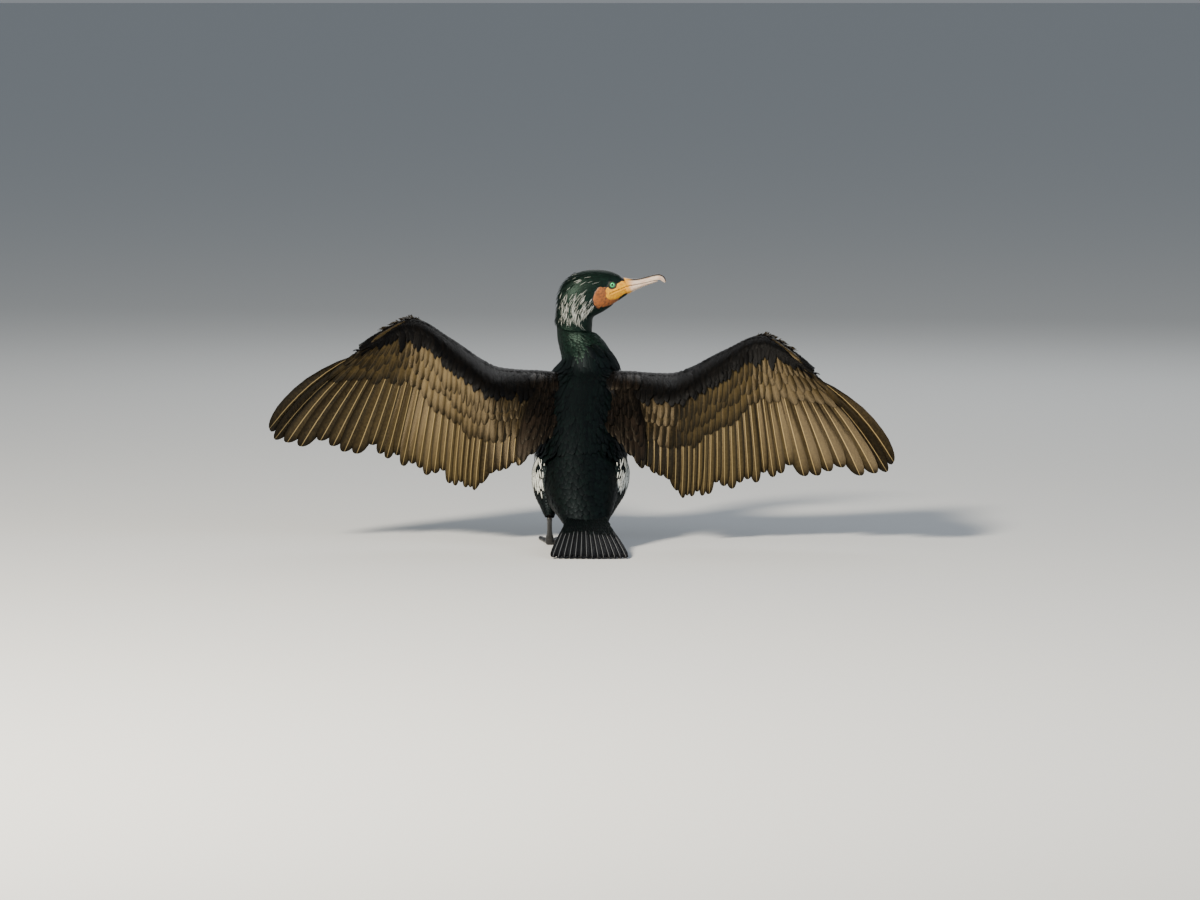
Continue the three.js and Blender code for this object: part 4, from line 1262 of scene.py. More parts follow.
@dataclass(frozen=True)
class Tier:
    """One tier of coverts: where its feathers start and how far down the flight feathers they reach.

    pitch is the distance from one to the next in places, half the half width in places, and lift the height
    of the tips over the flight feathers.
    """

    name: str
    start: float
    reach: Knots
    pitch: float
    half: float
    lift: float
    first: float = -9.0
    last: float = 22.6
    sunk: float = 2.6  # how much lower the roots lie than the tips


@dataclass(frozen=True)
class SmallRows:
    """Rows of small feathers over or under the arm, from the bones to the leading edge.

    starts are the first and last row's shares, and ends the first row's first and last place. Each row ends
    sooner by taper. reach is a feather's length in shares and ragged how far the tips vary. lift is the tips'
    height with its change towards the leading edge, and root how much higher than the tips the roots lie.
    """

    count: int
    starts: tuple[float, float]
    ends: tuple[float, float]
    taper: float
    pitch: float
    reach: float
    ragged: float
    lift: tuple[float, float]
    root: float
    half: float = 0.6
    stagger: float = 0.36


@dataclass
class Wing:
    """One wing: its flesh is part of the skin, and its feathers lie in tiers.

    The tones are knots of place and shade: bronze near 0 on the forearm and nearly black near 1.
    """

    side: Side
    finishes: Finishes
    tiers: tuple[Tier, ...] = (
        Tier("greater", -0.3, ((-10, 0.62), (-1, 0.6), (0, 0.54), (13, 0.42), (23, 0.37)), 1.0, 0.9, 3.0),
        Tier("median", -0.42, ((-10, 0.36), (0, 0.36), (13, 0.3), (23, 0.24)), 0.95, 0.9, 4.2),
        Tier("marginal", -0.55, ((-10, 0.22), (0, 0.24), (13, 0.2), (23, 0.13)), 0.85, 0.85, 5.2))
    covert_tones: Knots = (
        (-9, 1.15), (-3, 1.1), (-0.5, 1.0), (1.5, 0.55), (4, 0.25), (8, 0.15), (13, 0.35), (18, 0.65),
        (23, 0.85))
    quill_tones: Knots = (
        (-8, 1.1), (-4, 1.0), (-1, 0.92), (0, 0.6), (2, 0.3), (6, 0.15), (12, 0.3), (16, 0.55), (19, 0.75),
        (23, 1.0))
    lesser: SmallRows = SmallRows(9, (-0.28, -1.0), (-11.4, 23.6), 0.25, 0.72, 0.36, 0.03, (8.2, -5.8), -2.2)
    lining: SmallRows = SmallRows(8, (-0.3, -0.98), (-10.6, 22.8), 0.4, 0.76, 0.34, 0.0, (-5.0, 3.6), 1.6)
    covert_spread: float = 0.16  # of the shades from feather to feather
    quill_spread: float = 0.11
    quills_from: float = -0.06
    quill_half: float = 0.78  # the most that a half width may be, in places
    quill_width: tuple[float, float] = (25, 6)  # the innermost's width, and what the outermost has more
    quill_overlap: float = 1.65  # how wide a vane may be, as a share of the distance between two
    widest_at: float = 0.7  # where along the feathers that distance is taken
    flesh_share: float = 0.86  # how much of the coat's height the flesh fills
    tuft_feathers: int = 70
    sheet: Sheet = field(init=False)

    def __post_init__(self) -> None:
        """Sample the wing's middle surface."""
        self.sheet = Sheet(WING.surface, (-11.5, 24.5), (-1, 1), (360, 160), facing=np.array([0, -1, 0.4]))

    def place(self, points: Array) -> Array:
        """Tip points at the shoulder and bring them to the wing's side.

        Args:
            points: of the right wing, level.

        Returns:
            The moved points.
        """
        raised = WING.raised[0] if self.side is Side.RIGHT else WING.raised[1]
        cos, sin = math.cos(math.radians(-raised)), math.sin(math.radians(-raised))
        pivot = np.array(WING.shoulder)
        x, y, z = np.moveaxis(points - pivot, -1, 0)
        turned = np.stack([x * cos + z * sin, y, z * cos - x * sin], -1)
        return (turned + pivot) * np.array([self.side.value, 1, 1])

    def flesh_height(self, n: Array, share: Array, section: Knots) -> Array:
        """Height of the flesh over the middle surface, which fades out behind the bones.

        Args:
            n: places along the wing.
            share: places across it.
            section: shares of the chord with shares of the thickness.

        Returns:
            The heights.
        """
        chord = np.clip(1 + share, 0, 1)
        fade = 1 - smooth(share, 0.0, 0.18)
        return through(WING.thick, n)[..., 0] * through(section, chord)[..., 0] * fade

    def over(self, n: Array, share: Array) -> Array:
        """Height of the flesh's upper side."""
        return self.flesh_height(n, share, WING.over)

    def under(self, n: Array, share: Array) -> Array:
        """Height of the flesh's lower side."""
        return self.flesh_height(n, share, WING.under)

    def flesh(self) -> tuple[Array, Array]:
        """The wing's flesh as one tube, a little inside the coat.

        Returns:
            Its points and faces.
        """
        across = np.linspace(-0.97, 0.02, 16)
        shares = np.concatenate([across, across[::-1][1:-1]])
        upper = np.arange(len(shares)) < len(across)
        grid_n, grid_s = np.meshgrid(np.linspace(-11, WING.end - 0.9, 110), shares, indexing="ij")
        height = np.where(upper, self.over(grid_n, grid_s), self.under(grid_n, grid_s)) * self.flesh_share
        return tube(self.place(self.sheet.at(grid_n, grid_s, height)))

    def spread(self, coat: Coat, n: Array, start: float, end: Array | float, half: float,
               lift: tuple[Array | float, Array | float], inner: float = 1.15, slope: float = 1.1,
               stray: float = 0.03) -> Bunch:
        """Feathers at places along the wing, from one share to another.

        Args:
            coat: whose random draws give the small differences.
            n: the places.
            start: the roots' share.
            end: the tips' shares.
            half: half width in places.
            lift: heights of root and tip.
            inner: how much wider the inner side is.
            slope: how far a vane rises over one half width.
            stray: how far the tips stray at random, in places.

        Returns:
            The bunch.
        """
        count = len(n)
        wobble = coat.random.normal(size=count) * stray
        length = (end - start) * coat.random.uniform(0.95, 1.05, count)
        return Bunch(n, np.full(count, start), (wobble, length),
                     (np.full(count, half), np.zeros(count)), lift,
                     inner, slope)

    def quills(self) -> None:
        """Make the flight feathers of the upper arm, the forearm and the hand."""
        narrow, more = self.quill_width
        for word, first, last in (("tertials", -8, -1), ("secondaries", 0, 13), ("primaries", 14, 23)):
            coat = Coat(f"{word}_{self.side.word}", SEED + 40 + first)
            for n in np.arange(first, last + 1, dtype=float):
                sides = WING.surface(n + np.array([0.5, -0.5]), np.full(2, self.widest_at))
                pitch = float(np.linalg.norm(sides[0] - sides[1]))
                widest = narrow + more * max(0.0, n / 24)
                half = self.quill_half * min(1.0, widest / (pitch * self.quill_overlap))
                bunch = self.spread(coat, np.array([n]), self.quills_from, 1.0, half, (0.0, 0.0), inner=1.2,
                                    slope=1.8, stray=0)
                tone = through(self.quill_tones, np.array([n]))[..., 0]
                bunch.shade = tone + coat.random.normal() * self.quill_spread
                coat.lay(self.sheet, bunch, QUILL, place=self.place)
            coat.map_in_strips()
            coat.piece(self.finishes.flight, Region.WING)

    def coverts(self) -> None:
        """Make the tiers of coverts over the flight feathers."""
        for tier in self.tiers:
            coat = Coat(f"{tier.name}_coverts_{self.side.word}", SEED + len(tier.name))
            n = np.arange(tier.first, tier.last, tier.pitch)
            reach = through(tier.reach, n)[..., 0]
            bunch = self.spread(coat, n, tier.start, reach, tier.half, (tier.lift - tier.sunk, tier.lift))
            tone = through(self.covert_tones, n)[..., 0]
            bunch.shade = tone + self.covert_spread * coat.random.normal(size=len(n))
            coat.lay(self.sheet, bunch, COVERT, height=self.over, place=self.place)
            coat.piece(self.finishes.covert, Region.WING)

    def small_rows(self, coat: Coat, rows: SmallRows, height: Shape) -> None:
        """Lay rows of small feathers.

        Args:
            coat: what they are part of.
            rows: their sizes.
            height: how high the flesh stands on their side of the wing.
        """
        first, last = rows.ends
        high, change = rows.lift
        for row, start in enumerate(np.linspace(*rows.starts, rows.count).tolist()):
            n = np.arange(first + rows.stagger * (row % 2), last - rows.taper * row, rows.pitch)
            ragged = rows.ragged * coat.random.normal(size=len(n)) if rows.ragged else 0.0
            lift = float(high + change * smooth(-start, 0.3, 0.95))
            bunch = self.spread(coat, n, start, start + rows.reach + ragged, rows.half,
                                (lift + rows.root, lift), stray=0.12)
            coat.lay(self.sheet, bunch, ROUND_TIP, height=height, place=self.place)

    def lesser_coverts(self) -> None:
        """Make the rows of small feathers over the arm."""
        coat = Coat(f"lesser_coverts_{self.side.word}", SEED + 11)
        self.small_rows(coat, self.lesser, self.over)
        coat.piece(self.finishes.lesser, Region.WING)

    def underside(self) -> None:
        """Make the feathers of the wing's lower side: two tiers of coverts, then rows of small ones."""
        coat = Coat(f"under_coverts_{self.side.word}", SEED + 17)
        for row, (start, end, lift) in enumerate(((-0.3, 0.42, -3.2), (-0.45, 0.22, -4.4))):
            n = np.arange(-9 + 0.5 * row, 22.6, 1.0)
            bunch = self.spread(coat, n, start, end, 0.74, (lift + 1.2, lift), slope=1.0)
            coat.lay(self.sheet, bunch, COVERT, height=self.under, place=self.place)
        self.small_rows(coat, self.lining, self.under)
        coat.piece(self.finishes.lesser, Region.WING)

    def thumb(self) -> None:
        """Make the thumb's four feathers and the loose tuft at the wrist."""
        coat = Coat(f"thumb_{self.side.word}", SEED + 19)
        for k in range(4):
            bunch = Bunch(np.array([15.0 + 0.5 * k]), np.array([-0.75 + 0.03 * k]),
                          (np.array([6.8 - 0.9 * k]), np.array([0.5 - 0.06 * k])),
                          (np.array([-0.28]), np.array([0.16])), (2.0, 4.0 + 1.3 * k), slope=0.6,
                          shade=np.array([0.72]))
            coat.lay(self.sheet, bunch, COVERT, height=self.over, place=self.place)
        random, count = coat.random, self.tuft_feathers
        n = random.uniform(11.8, 17.6, count)
        start = random.uniform(-1.0, -0.86, count)
        bunch = Bunch(n, start, (random.uniform(0.4, 1.8, count), -random.uniform(0.0, 0.2, count)),
                      (np.full(count, 0.03), np.full(count, 0.06)), (1.0, random.uniform(2.0, 7.0, count)),
                      shade=random.uniform(0.6, 1.1, count))
        coat.lay(self.sheet, bunch, LANCE, height=self.over, place=self.place)
        coat.piece(self.finishes.covert, Region.WING)

    def scapulars(self) -> None:
        """Make the long feathers of the shoulder, in rows that lie higher towards the back."""
        coat = Coat(f"scapulars_{self.side.word}", SEED + 23)
        rows = ((1.02, 8.0), (0.84, 8.6), (0.66, 9.2), (0.48, 9.8), (0.3, 10.2), (0.14, 10.4), (0.0, 10.2))
        for row, (reach, lift) in enumerate(rows):
            n = np.arange(-11.8 + 0.3 * (row % 2), -6.0 - 0.12 * row, 0.62)
            sunk = 0.35 + 0.65 * smooth(n, -12.0, -9.0)
            end = reach - 0.03 * np.abs(n + 8) + 0.03 * coat.random.normal(size=len(n))
            start = max(reach - 0.8, -0.85)
            root = float(np.interp(start, (-0.85, -0.3, 0.2), (-1.0, 2.5, 4.0)))
            bunch = self.spread(coat, n, start, end, 0.72, (root * sunk, lift * sunk), slope=1.0, stray=0.35)
            bunch.shade = np.clip(0.95 - 0.75 * smooth(n, -9.5, -6.5) * (reach > 0.6), 0, 1)
            coat.lay(self.sheet, bunch, COVERT, height=self.over, place=self.place)
        coat.piece(self.finishes.shoulder, Region.WING)

    def build(self) -> None:
        """Make the wing's pieces."""
        self.quills()
        self.coverts()
        self.lesser_coverts()
        self.underside()
        self.thumb()
        self.scapulars()


@dataclass(frozen=True)
class TailLines:
    """The tail's fan: half width, place and middle X of its roots and of its tips, and the flesh at its base.

    ring holds knots of place, Y, Z, half width and half depth.
    """

    feathers: int = 14
    root_half: float = 32
    root_y: float = -111
    root_z: float = 41
    root_x: float = 3
    tip_half: float = 58
    tip_y: float = -217
    tip_z: float = 1.1
    tip_x: float = 7
    wedge: float = 7  # how much shorter the outermost feathers end
    arch: float = 8
    ring: Knots = ((0, -95, 46, 27, 11), (1, -113, 41, 34, 9), (2, -126, 36, 36, 5.5), (3, -134, 33, 34, 2.5))

    def surface(self, n: Array, share: Array) -> Array:
        """The fan's surface.

        Args:
            n: feathers counted from the middle.
            share: 0 at the roots and 1 at the tips.

        Returns:
            Points in mm.
        """
        across = n / (self.feathers / 2)
        level = np.ones_like(n)
        root = np.stack([self.root_x + across * self.root_half, self.root_y * level, self.root_z * level], -1)
        tip = np.stack([self.tip_x + across * self.tip_half, self.tip_y + self.wedge * across**2,
                        self.tip_z * level], -1)
        point = root + (tip - root) * share[..., None]
        point[..., 2] += self.arch * share * (1 - share)
        return point


TAIL = TailLines()


@dataclass
class Tail:
    """The stiff wedge of tail feathers with the coverts at its base."""

    finishes: Finishes
    sheet: Sheet = field(init=False)

    def __post_init__(self) -> None:
        """Sample the fan."""
        self.sheet = Sheet(TAIL.surface, (-7, 7), (0, 1), (140, 60), facing=np.array([0, -0.35, 0.93]))

    def flesh(self) -> tuple[Array, Array]:
        """The flesh at the tail's base, inside its coat.

        Returns:
            Its points and faces.
        """
        angle = np.linspace(0, 2 * math.pi, 40, endpoint=False)
        rings = []
        for place in np.linspace(0, 3, 16):
            y, z, width, depth = through(TAIL.ring, place)
            rise = np.sin(angle) * (depth - 1)
            rings.append(np.stack([TAIL.root_x + np.cos(angle) * (width - 2), y + 0.4 * rise, z + rise], -1))
        return tube(np.array(rings))

    def quills(self) -> None:
        """Make the fan's feathers, the middle ones over the outer ones and the left half over the right."""
        coat = Coat("tail_quills", SEED + 29)
        for k in range(TAIL.feathers):
            n = k - TAIL.feathers / 2 + 0.5
            over = 1.2 * (7 - abs(n)) / 7 + (1.0 if n < 0 else 0.0)
            half = 0.8 * math.copysign(1, n)
            bunch = Bunch(np.array([n]), np.array([0.0]), (np.array([0.0]), np.array([1.0])),
                          (np.array([half]), np.array([0.0])), (over, over + 0.4), slope=1.2)
            coat.lay(self.sheet, bunch, QUILL)
        coat.map_in_strips()
        coat.piece(self.finishes.tail, Region.TAIL, ("tail",))

    def coverts(self) -> None:
        """Make the small feathers over and under the fan's base."""
        coat = Coat("tail_coverts", SEED + 31)
        for side, low in ((1, 2.5), (-1, -4.5)):
            for row in range(7):
                n = np.arange(-6.6 + 0.3 * (row % 2), 6.7, 0.62)
                none = np.zeros(len(n))
                lift = low + side * row
                length = 0.3 + 0.01 * coat.random.normal(size=len(n))
                bunch = Bunch(n, none + 0.16 - 0.07 * row, (none, length), (none + 0.52, none),
                              (lift - side * 1.5, lift), slope=0.3)
                coat.lay(self.sheet, bunch, ROUND_TIP)
        coat.piece(self.finishes.body, Region.TAIL)

    def build(self) -> None:
        """Make the tail's pieces."""
        self.quills()
        self.coverts()


@dataclass(frozen=True)
class LegLines:
    """Rings of the thigh: number, share from hip to foot, Y, Z, half width, half depth.

    right and left hold how far the hip and the foot of each leg stand from the middle.
    """

    rings: Knots = (
        (0, 0, 6, 124, 17, 27), (1, 0.15, -8, 100, 20.5, 28), (2, 0.5, -22, 77, 18, 22),
        (3, 0.85, -32, 58, 11, 13.5), (4, 1, -37, 47, 6.5, 8))
    right: tuple[float, float] = (47, 32)
    left: tuple[float, float] = (59, 53)


LEG = LegLines()


@dataclass(frozen=True)
class ThighFeathers:
    """One kind of feather on the thigh: the step between rows in rings, the gap between roots, and the form.

    root is the roots' height and raised how much the tips are raised over the coat. patch says whether the
    kind covers only the oval patch on the outer side.
    """

    name: str
    step: float
    gap: float
    length: float
    half: float
    root: float
    raised: float
    form: Form
    patch: bool


@dataclass
class Leg:
    """One leg: a feathered thigh over a bare shank and webbed foot."""

    side: Side
    finishes: Finishes
    toes: tuple[str, ...] = ("inner_back", "inner", "middle", "outer")
    black: ThighFeathers = ThighFeathers("thigh", 0.2, 4.4, 13.0, 3.4, -0.9, 0.0, ROUND_TIP, False)
    white: ThighFeathers = ThighFeathers("thigh_patch", 0.1, 2.9, 17.0, 0.95, 0.7, 1.2, HAIR, True)
    coat_depth: float = 2.0
    voxel: float = 0.8  # of the remesh that joins the foot's solids
    sheet: Sheet = field(init=False)

    def __post_init__(self) -> None:
        """Sample the thigh."""
        self.sheet = Sheet(self.thigh, (0, 4), (-4.2, 4.2), (80, 96))

    def thigh(self, place: Array, angle: Array, less: float = 0.0) -> Array:
        """Points round the thigh.

        Args:
            place: ring numbers.
            angle: from the outer side.
            less: how far inside the coat they lie.

        Returns:
            Points in mm.
        """
        hip, foot = LEG.right if self.side is Side.RIGHT else LEG.left
        share, y, z, width, depth = np.moveaxis(through(LEG.rings, place), -1, 0)
        step = through(LEG.rings, place + 0.3) - through(LEG.rings, place - 0.3)
        none = np.zeros_like(place)
        down = unit(np.stack([none, step[..., 1], step[..., 2]], -1))
        forward = np.stack([none, -down[..., 2], down[..., 1]], -1)
        out = self.side.value * (hip + (foot - hip) * share + np.cos(angle) * (width - less))
        return np.stack([out, y, z], -1) + forward * (np.sin(angle) * (depth - less))[..., None]

    def flesh(self) -> tuple[Array, Array]:
        """The thigh's flesh, inside its coat."""
        around = np.linspace(0, 2 * math.pi, 48, endpoint=False)
        return tube(self.thigh(*np.meshgrid(np.linspace(0, 4, 40), around, indexing="ij"), self.coat_depth))

    def feathers(self, kind: ThighFeathers, material: Material) -> None:
        """Make the thigh's feathers of one kind.

        Args:
            kind: their sizes.
            material: their finish.
        """
        coat = Coat(f"{kind.name}_{self.side.word}", SEED + 37)
        places, angles = [], []
        for row, ring in enumerate(np.arange(0.1, 3.7, kind.step)):
            size = through(LEG.rings, ring)
            count = int(math.pi * (size[3] + size[4]) / kind.gap)
            places.append(np.full(count, ring))
            angles.append(staggered(count, row))
        place, angle = np.concatenate(places), np.concatenate(angles)
        reach = 0.6 + 0.2 * np.sin(9 * place) + 0.2 * coat.random.normal(size=len(place))
        if kind.patch:
            oval = (place < 1.7 + 0.5 * np.sin(5 * angle)) & (np.abs(angle + 0.35) < reach)
            keep = oval & (coat.random.random(len(place)) < 0.8)
            place, angle = place[keep], angle[keep]
        along, across = self.sheet.stretch(place, angle)
        count = len(place)
        length = kind.length * coat.random.uniform(0.85, 1.15, count) * (1 - 0.12 * place)
        yaw = coat.random.normal(size=count) * 0.12
        tip = coat.random.uniform(0.2, 1.0, count) + kind.raised
        bunch = Bunch(place, angle, (length * np.cos(yaw) / along, length * np.sin(yaw) / across),
                      (np.zeros(count), kind.half / across), (kind.root, tip))
        coat.lay(self.sheet, bunch, kind.form)
        coat.piece(material, Region.BODY)

    def foot(self) -> None:
        """Make the shank, toes and webs, smoothed over, and the claws."""
        nodes = (f"tarsus_{self.side.word}", f"foot_{self.side.word}")
        foot = joined_copy(f"bare_leg_{self.side.word}", nodes)
        finish_with(foot, "REMESH", mode="VOXEL", voxel_size=self.voxel * MM)
        finish_with(foot, "SMOOTH", factor=0.5, iterations=5)
        for vertex in foot.data.vertices:
            vertex.co.z = max(vertex.co.z, 0.0)
        smooth_faces(foot)
        dress(foot, self.finishes.foot, Region.FOOT, nodes)
        for toe in self.toes:
            node = f"claw_{self.side.word}_{toe}"
            claw = joined_copy(f"nail_{self.side.word}_{toe}", (node,))
            finish_with(claw, "SUBSURF", levels=2, render_levels=2)
            smooth_faces(claw)
            dress(claw, self.finishes.claw, Region.CLAW, (node,))

    def build(self) -> None:
        """Make the leg's pieces."""
        self.feathers(self.black, self.finishes.body)
        self.feathers(self.white, self.finishes.white)
        self.foot()


def pick(*objects: Object) -> None:
    """Select these objects alone, the first one active.

    Args:
        *objects: what to select.
    """
    bpy.ops.object.select_all(action="DESELECT")
    for item in objects:
        item.select_set(True)
    bpy.context.view_layer.objects.active = objects[0]


def joined_copy(name: str, nodes: tuple[str, ...]) -> Object:
    """Copy nodes of the frame to one new mesh, with its doubled points merged.

    Args:
        name: the new piece's name.
        nodes: the nodes.

    Returns:
        The copy.
    """
    copies = []
    for node in nodes:
        copy = bpy.data.objects.new(name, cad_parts[node].data.copy())
        bpy.context.scene.collection.objects.link(copy)
        copies.append(copy)
    pick(*copies)
    if len(copies) > 1:
        bpy.ops.object.join()
    bpy.ops.object.mode_set(mode="EDIT")
    bpy.ops.mesh.select_all(action="SELECT")
    bpy.ops.mesh.remove_doubles(threshold=0.02 * MM)
    bpy.ops.object.mode_set(mode="OBJECT")
    made = bpy.context.view_layer.objects.active
    made.name = name
    return made


def finish_with(piece: Object, kind: str, **settings: object) -> None:
    """Add a modifier and apply it.

    Args:
        piece: what it changes.
        kind: the modifier's type.
        **settings: its own properties.
    """
    modifier = piece.modifiers.new(kind.lower(), kind)
    for key, value in settings.items():
        setattr(modifier, key, value)
    pick(piece)
    bpy.ops.object.modifier_apply(modifier=modifier.name)


def smooth_faces(piece: Object) -> None:
    """Shade a piece's faces smooth."""
    piece.data.polygons.foreach_set("use_smooth", np.ones(len(piece.data.polygons), bool))
    piece.data.update()


@dataclass(frozen=True)
class BillLines:
    """Rings of the bill's halves: ridge X, Z, cutting edge X, Z, half width."""

    upper: Knots = (
        (58.6, 394.7, 63.2, 382.3, 9.6), (70, 393, 72, 383.9, 7.6), (82, 393.8, 83.5, 386.1, 6.3),
        (94, 396.8, 95, 388.4, 5.4), (104, 399.3, 104.5, 390.9, 4.9), (112, 400.3, 111, 391.7, 4.5),
        (118, 398, 113.8, 391.2, 3.8), (121.5, 393, 117.2, 389, 2.5), (122.3, 388.2, 119.9, 387.2, 1))
    lower: Knots = (
        (67.4, 370.9, 63.5, 381.6, 9.3), (76, 375.2, 72.2, 383.1, 7.2), (86, 380, 83.6, 385.3, 5.8),
        (96, 383.9, 95, 387.6, 4.7), (104.5, 386.9, 104.2, 390.1, 3.8), (109.6, 388.7, 109.6, 390.9, 2.6))
    hidden: float = 0.35  # rings that run on under the face's skin
    full: float = 0.8  # power that makes the section fuller than an oval
    groove: tuple[float, float, float] = (0.5, 0.62, 0.1)  # between ridge and side: depth, angle, half width
    lower_groove: float = 0.3  # share of it that the lower half has


@dataclass
class Head:
    """The bill, the eyes and the rings of skin round them."""

    finishes: Finishes
    bill: BillLines = BillLines()

    def half(self, word: str, rings: Knots, upper: bool) -> None:
        """Make one half of the bill, with a groove between its ridge and its side.

        Args:
            word: which half, as in its node's name.
            rings: its rings.
            upper: whether it is the upper half.
        """
        table = tuple((i, *ring) for i, ring in enumerate(rings))
        last = len(rings) - 1
        angle = np.linspace(-math.pi / 2, math.pi / 2, 41)
        round_side = np.cos(angle) ** self.bill.full
        depth, at, wide = self.bill.groove
        cut = 1 if upper else self.bill.lower_groove
        crease = depth * np.exp(-(((np.abs(angle) - at) / wide) ** 2)) * cut
        floor = np.linspace(1, -1, 13)[1:-1]
        level = np.ones_like(floor)
        side = np.concatenate([np.cos(angle), np.zeros_like(floor)])
        points, horn = [], []
        for place in np.linspace(-self.bill.hidden, last, 70):
            rx, rz, ex, ez, width = through(table, place)
            pull = 1 - crease / max(width, 1.5)
            out = round_side * pull
            aside = EYE.middle + np.sin(angle) * width * pull
            ring = np.stack([ex + (rx - ex) * out, aside, ez + (rz - ez) * out], -1)
            bottom = np.stack([ex * level, EYE.middle + floor * width, ez * level], -1)
            points.append(np.concatenate([ring, bottom]))
            share = np.clip(place / last, 0, 1)
            horn.append(np.stack([side, np.full_like(side, share), np.full_like(side, upper)], -1))
        flat, quads = tube(np.array(points))
        rows = np.concatenate([horn[:1], horn[:1], horn, horn[-1:], horn[-1:]]).reshape(-1, 3)
        make_piece(f"horn_{word}", flat, quads, self.finishes.bill, Region.BILL, (f"bill_{word}",),
                   vectors={"horn": rows})

    def eyeball(self, side: Side, centre: Vector) -> None:
        """Make one eye, which keeps how far each of its points lies from the pupil.

        Args:
            side: which eye it is.
            centre: its centre in the shared frame.
        """
        bpy.ops.object.select_all(action="DESELECT")
        bpy.ops.mesh.primitive_uv_sphere_add(segments=64, ring_count=40, radius=EYE.radius * MM)
        eye = bpy.context.object
        eye.name = f"eyeball_{side.word}"
        eye.data.transform(Matrix.Rotation(math.pi / 2, 4, "X"))
        eye.data.transform(Matrix.Translation(centre * MM))
        place = np.empty(len(eye.data.vertices) * 3)
        eye.data.vertices.foreach_get("co", place)
        away = (place.reshape(-1, 3) / MM - np.array(centre)) * [1, 0, 1]
        gaze = np.stack([np.linalg.norm(away, axis=-1), away[:, 0], away[:, 2]], -1)
        keep_vectors(eye.data, "gaze", gaze)
        smooth_faces(eye)
        dress(eye, self.finishes.eye, Region.EYE, (f"eye_{side.word}",))

    def lid(self, side: Side, centre: Vector) -> None:
        """Make the ring of bare beaded skin round one eye.

        Args:
            side: which eye it goes round.
            centre: the eye's centre in the shared frame.
        """
        bpy.ops.object.select_all(action="DESELECT")
        bpy.ops.mesh.primitive_torus_add(major_segments=64, minor_segments=14,
                                         major_radius=EYE.radius * EYE.lid * MM,
                                         minor_radius=EYE.lid_thick * MM)
        lid = bpy.context.object
        lid.name = f"lid_{side.word}"
        for vertex in lid.data.vertices:
            around = math.atan2(vertex.co.y, vertex.co.x)
            vertex.co.z *= 1.1 + 0.12 * math.cos(EYE.beads * around)
            vertex.co.y *= 0.92
        lid.data.transform(Matrix.Rotation(math.pi / 2, 4, "X"))
        lid.data.transform(Matrix.Rotation(side.value * EYE.lid_turn, 4, "Z"))
        forward, out, up = EYE.lid_at
        lid.data.transform(Matrix.Translation((centre + Vector((forward, -side.value * out, up))) * MM))
        keep_vectors(lid.data, "face", np.tile([0, 0, 1], len(lid.data.vertices)))
        smooth_faces(lid)
        dress(lid, self.finishes.skin, Region.BODY)

    def build(self) -> None:
        """Make the head's pieces. The head looks along X, so its right eye lies towards -Y."""
        self.half("upper", self.bill.upper, True)
        self.half("lower", self.bill.lower, False)
        for side in Side:
            centre = Vector((EYE.x, EYE.middle - side.value * EYE.out, EYE.z)) + Vector(SHIFT)
            self.eyeball(side, centre)
            self.lid(side, centre)


def build_skin(finishes: Finishes, wings: list[Wing], legs: list[Leg], tail: Tail) -> None:
    """Make the one skin under all the feathers.

    Args:
        finishes: the materials.
        wings: both wings.
        legs: both legs.
        tail: the tail.
    """
    parts = [BODY.skin(), *(limb.flesh() for limb in (*wings, *legs, tail))]
    points = np.concatenate([part[0] for part in parts])
    starts = np.cumsum([0, *(len(part[0]) for part in parts[:-1])])
    quads = np.concatenate([part[1] + start for part, start in zip(parts, starts)])
    points[:, 2] = np.maximum(points[:, 2], FLOOR_CLEARANCE)
    replaced = ["torso", "neck_lower", "neck_upper", "head"]
    for side in Side:
        replaced += [f"wing_{side.word}_{part}" for part in ("arm", "forearm", "hand")]
        replaced.append(f"thigh_{side.word}")
    make_piece("skin", points, quads, finishes.skin, Region.BODY, tuple(replaced),
               vectors={"face": BODY.bare(points)})


@dataclass(frozen=True)
class SoftBox:
    """One square soft light: its place and width in metres, its power in watts and its colour."""

    name: str
    place: tuple[float, float, float]
    width: float
    power: float
    colour: str


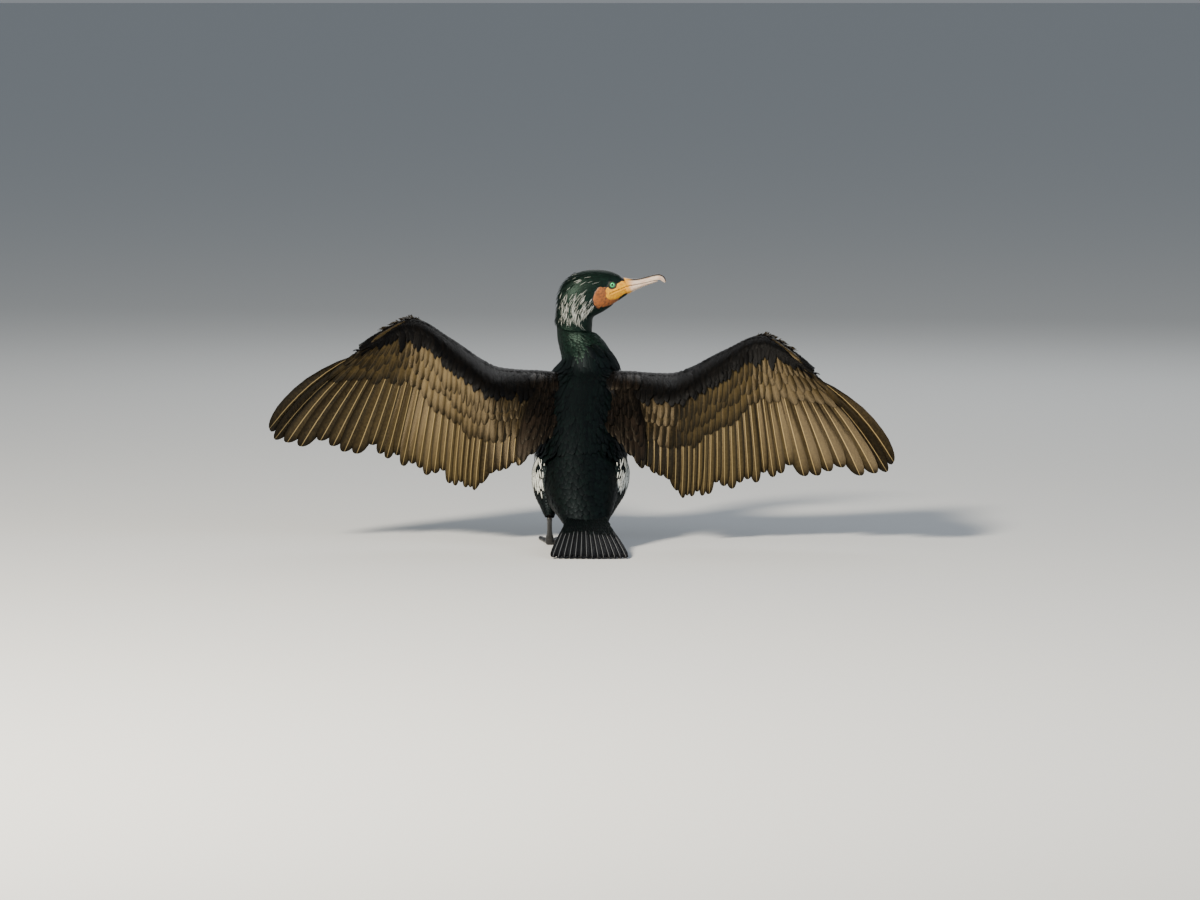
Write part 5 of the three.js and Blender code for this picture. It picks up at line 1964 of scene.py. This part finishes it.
@dataclass(frozen=True)
class Studio:
    """The camera, floor and soft lights: the main one high on the left, on the camera's side."""

    aim: tuple[float, float, float] = (22.5, 0.0, 142.5)  # what the middle of the picture shows
    elevation: float = 5.0  # degrees above level
    lens: float = 200.0
    sensor: float = 36.0
    distance: float = 10.0  # metres, which makes the picture 1.8 m wide
    floor: str = "#c9ced1"
    floor_width: float = 80.0  # metres
    sky: str = "#dfe6ee"
    sky_strength: float = 0.33
    lights_aim: tuple[float, float, float] = (0, 0, 0.2)  # metres
    lights: tuple[SoftBox, ...] = (
        SoftBox("key", (-2.0, -3.4, 2.6), 0.7, 540, "#fff1dc"),
        SoftBox("fill", (3.2, -2.4, 1.6), 2.4, 60, "#e8f0ff"),
        SoftBox("front", (0.6, 3.2, 2.6), 2.4, 40, "#ffffff"))

    def camera(self) -> None:
        """Set the camera at the picture's angle."""
        data = bpy.data.cameras.new("camera")
        data.lens, data.sensor_width = self.lens, self.sensor
        data.clip_start, data.clip_end = 0.1, 100.0
        camera = bpy.data.objects.new("camera", data)
        bpy.context.scene.collection.objects.link(camera)
        tilt = math.radians(self.elevation)
        back = Vector((0, -math.cos(tilt), math.sin(tilt)))
        camera.location = (Vector(self.aim) + Vector(SHIFT)) * MM + back * self.distance
        camera.rotation_euler = (-back).to_track_quat("-Z", "Y").to_euler()
        bpy.context.scene.camera = camera

    def light(self, box: SoftBox) -> None:
        """Hang one light and aim it at the bird.

        Args:
            box: the light.
        """
        data = bpy.data.lights.new(box.name, "AREA")
        data.size, data.energy = box.width, box.power
        data.color = linear(box.colour)[:3]
        light = bpy.data.objects.new(box.name, data)
        bpy.context.scene.collection.objects.link(light)
        light.location = box.place
        aim = Vector(self.lights_aim) - Vector(box.place)
        light.rotation_euler = aim.to_track_quat("-Z", "Y").to_euler()

    def world(self) -> None:
        """Light the scene evenly from all sides."""
        world = bpy.data.worlds.new("studio")
        world.use_nodes = True
        fill(world.node_tree.nodes["Background"], {"Color": self.sky, "Strength": self.sky_strength})
        bpy.context.scene.world = world

    def build(self) -> None:
        """Make the camera, the lights and the floor."""
        self.camera()
        for box in self.lights:
            self.light(box)
        self.world()
        bpy.ops.object.select_all(action="DESELECT")
        bpy.ops.mesh.primitive_plane_add(size=self.floor_width)
        floor = bpy.context.object
        floor.name = "floor"
        paint, _, _ = blank("matt_floor", Roughness=0.9, Base_Color=self.floor)
        floor.data.materials.append(paint)


def main() -> None:
    """Build the bird."""
    logging.basicConfig(level=logging.INFO, format="%(name)s: %(message)s")
    Studio().build()
    finishes = Finishes()
    wings = [Wing(side, finishes) for side in Side]
    legs = [Leg(side, finishes) for side in Side]
    tail = Tail(finishes)
    build_skin(finishes, wings, legs, tail)
    Body(finishes).build()
    for part in (*wings, tail, *legs, Head(finishes)):
        part.build()


if __name__ == "__main__":
    main()
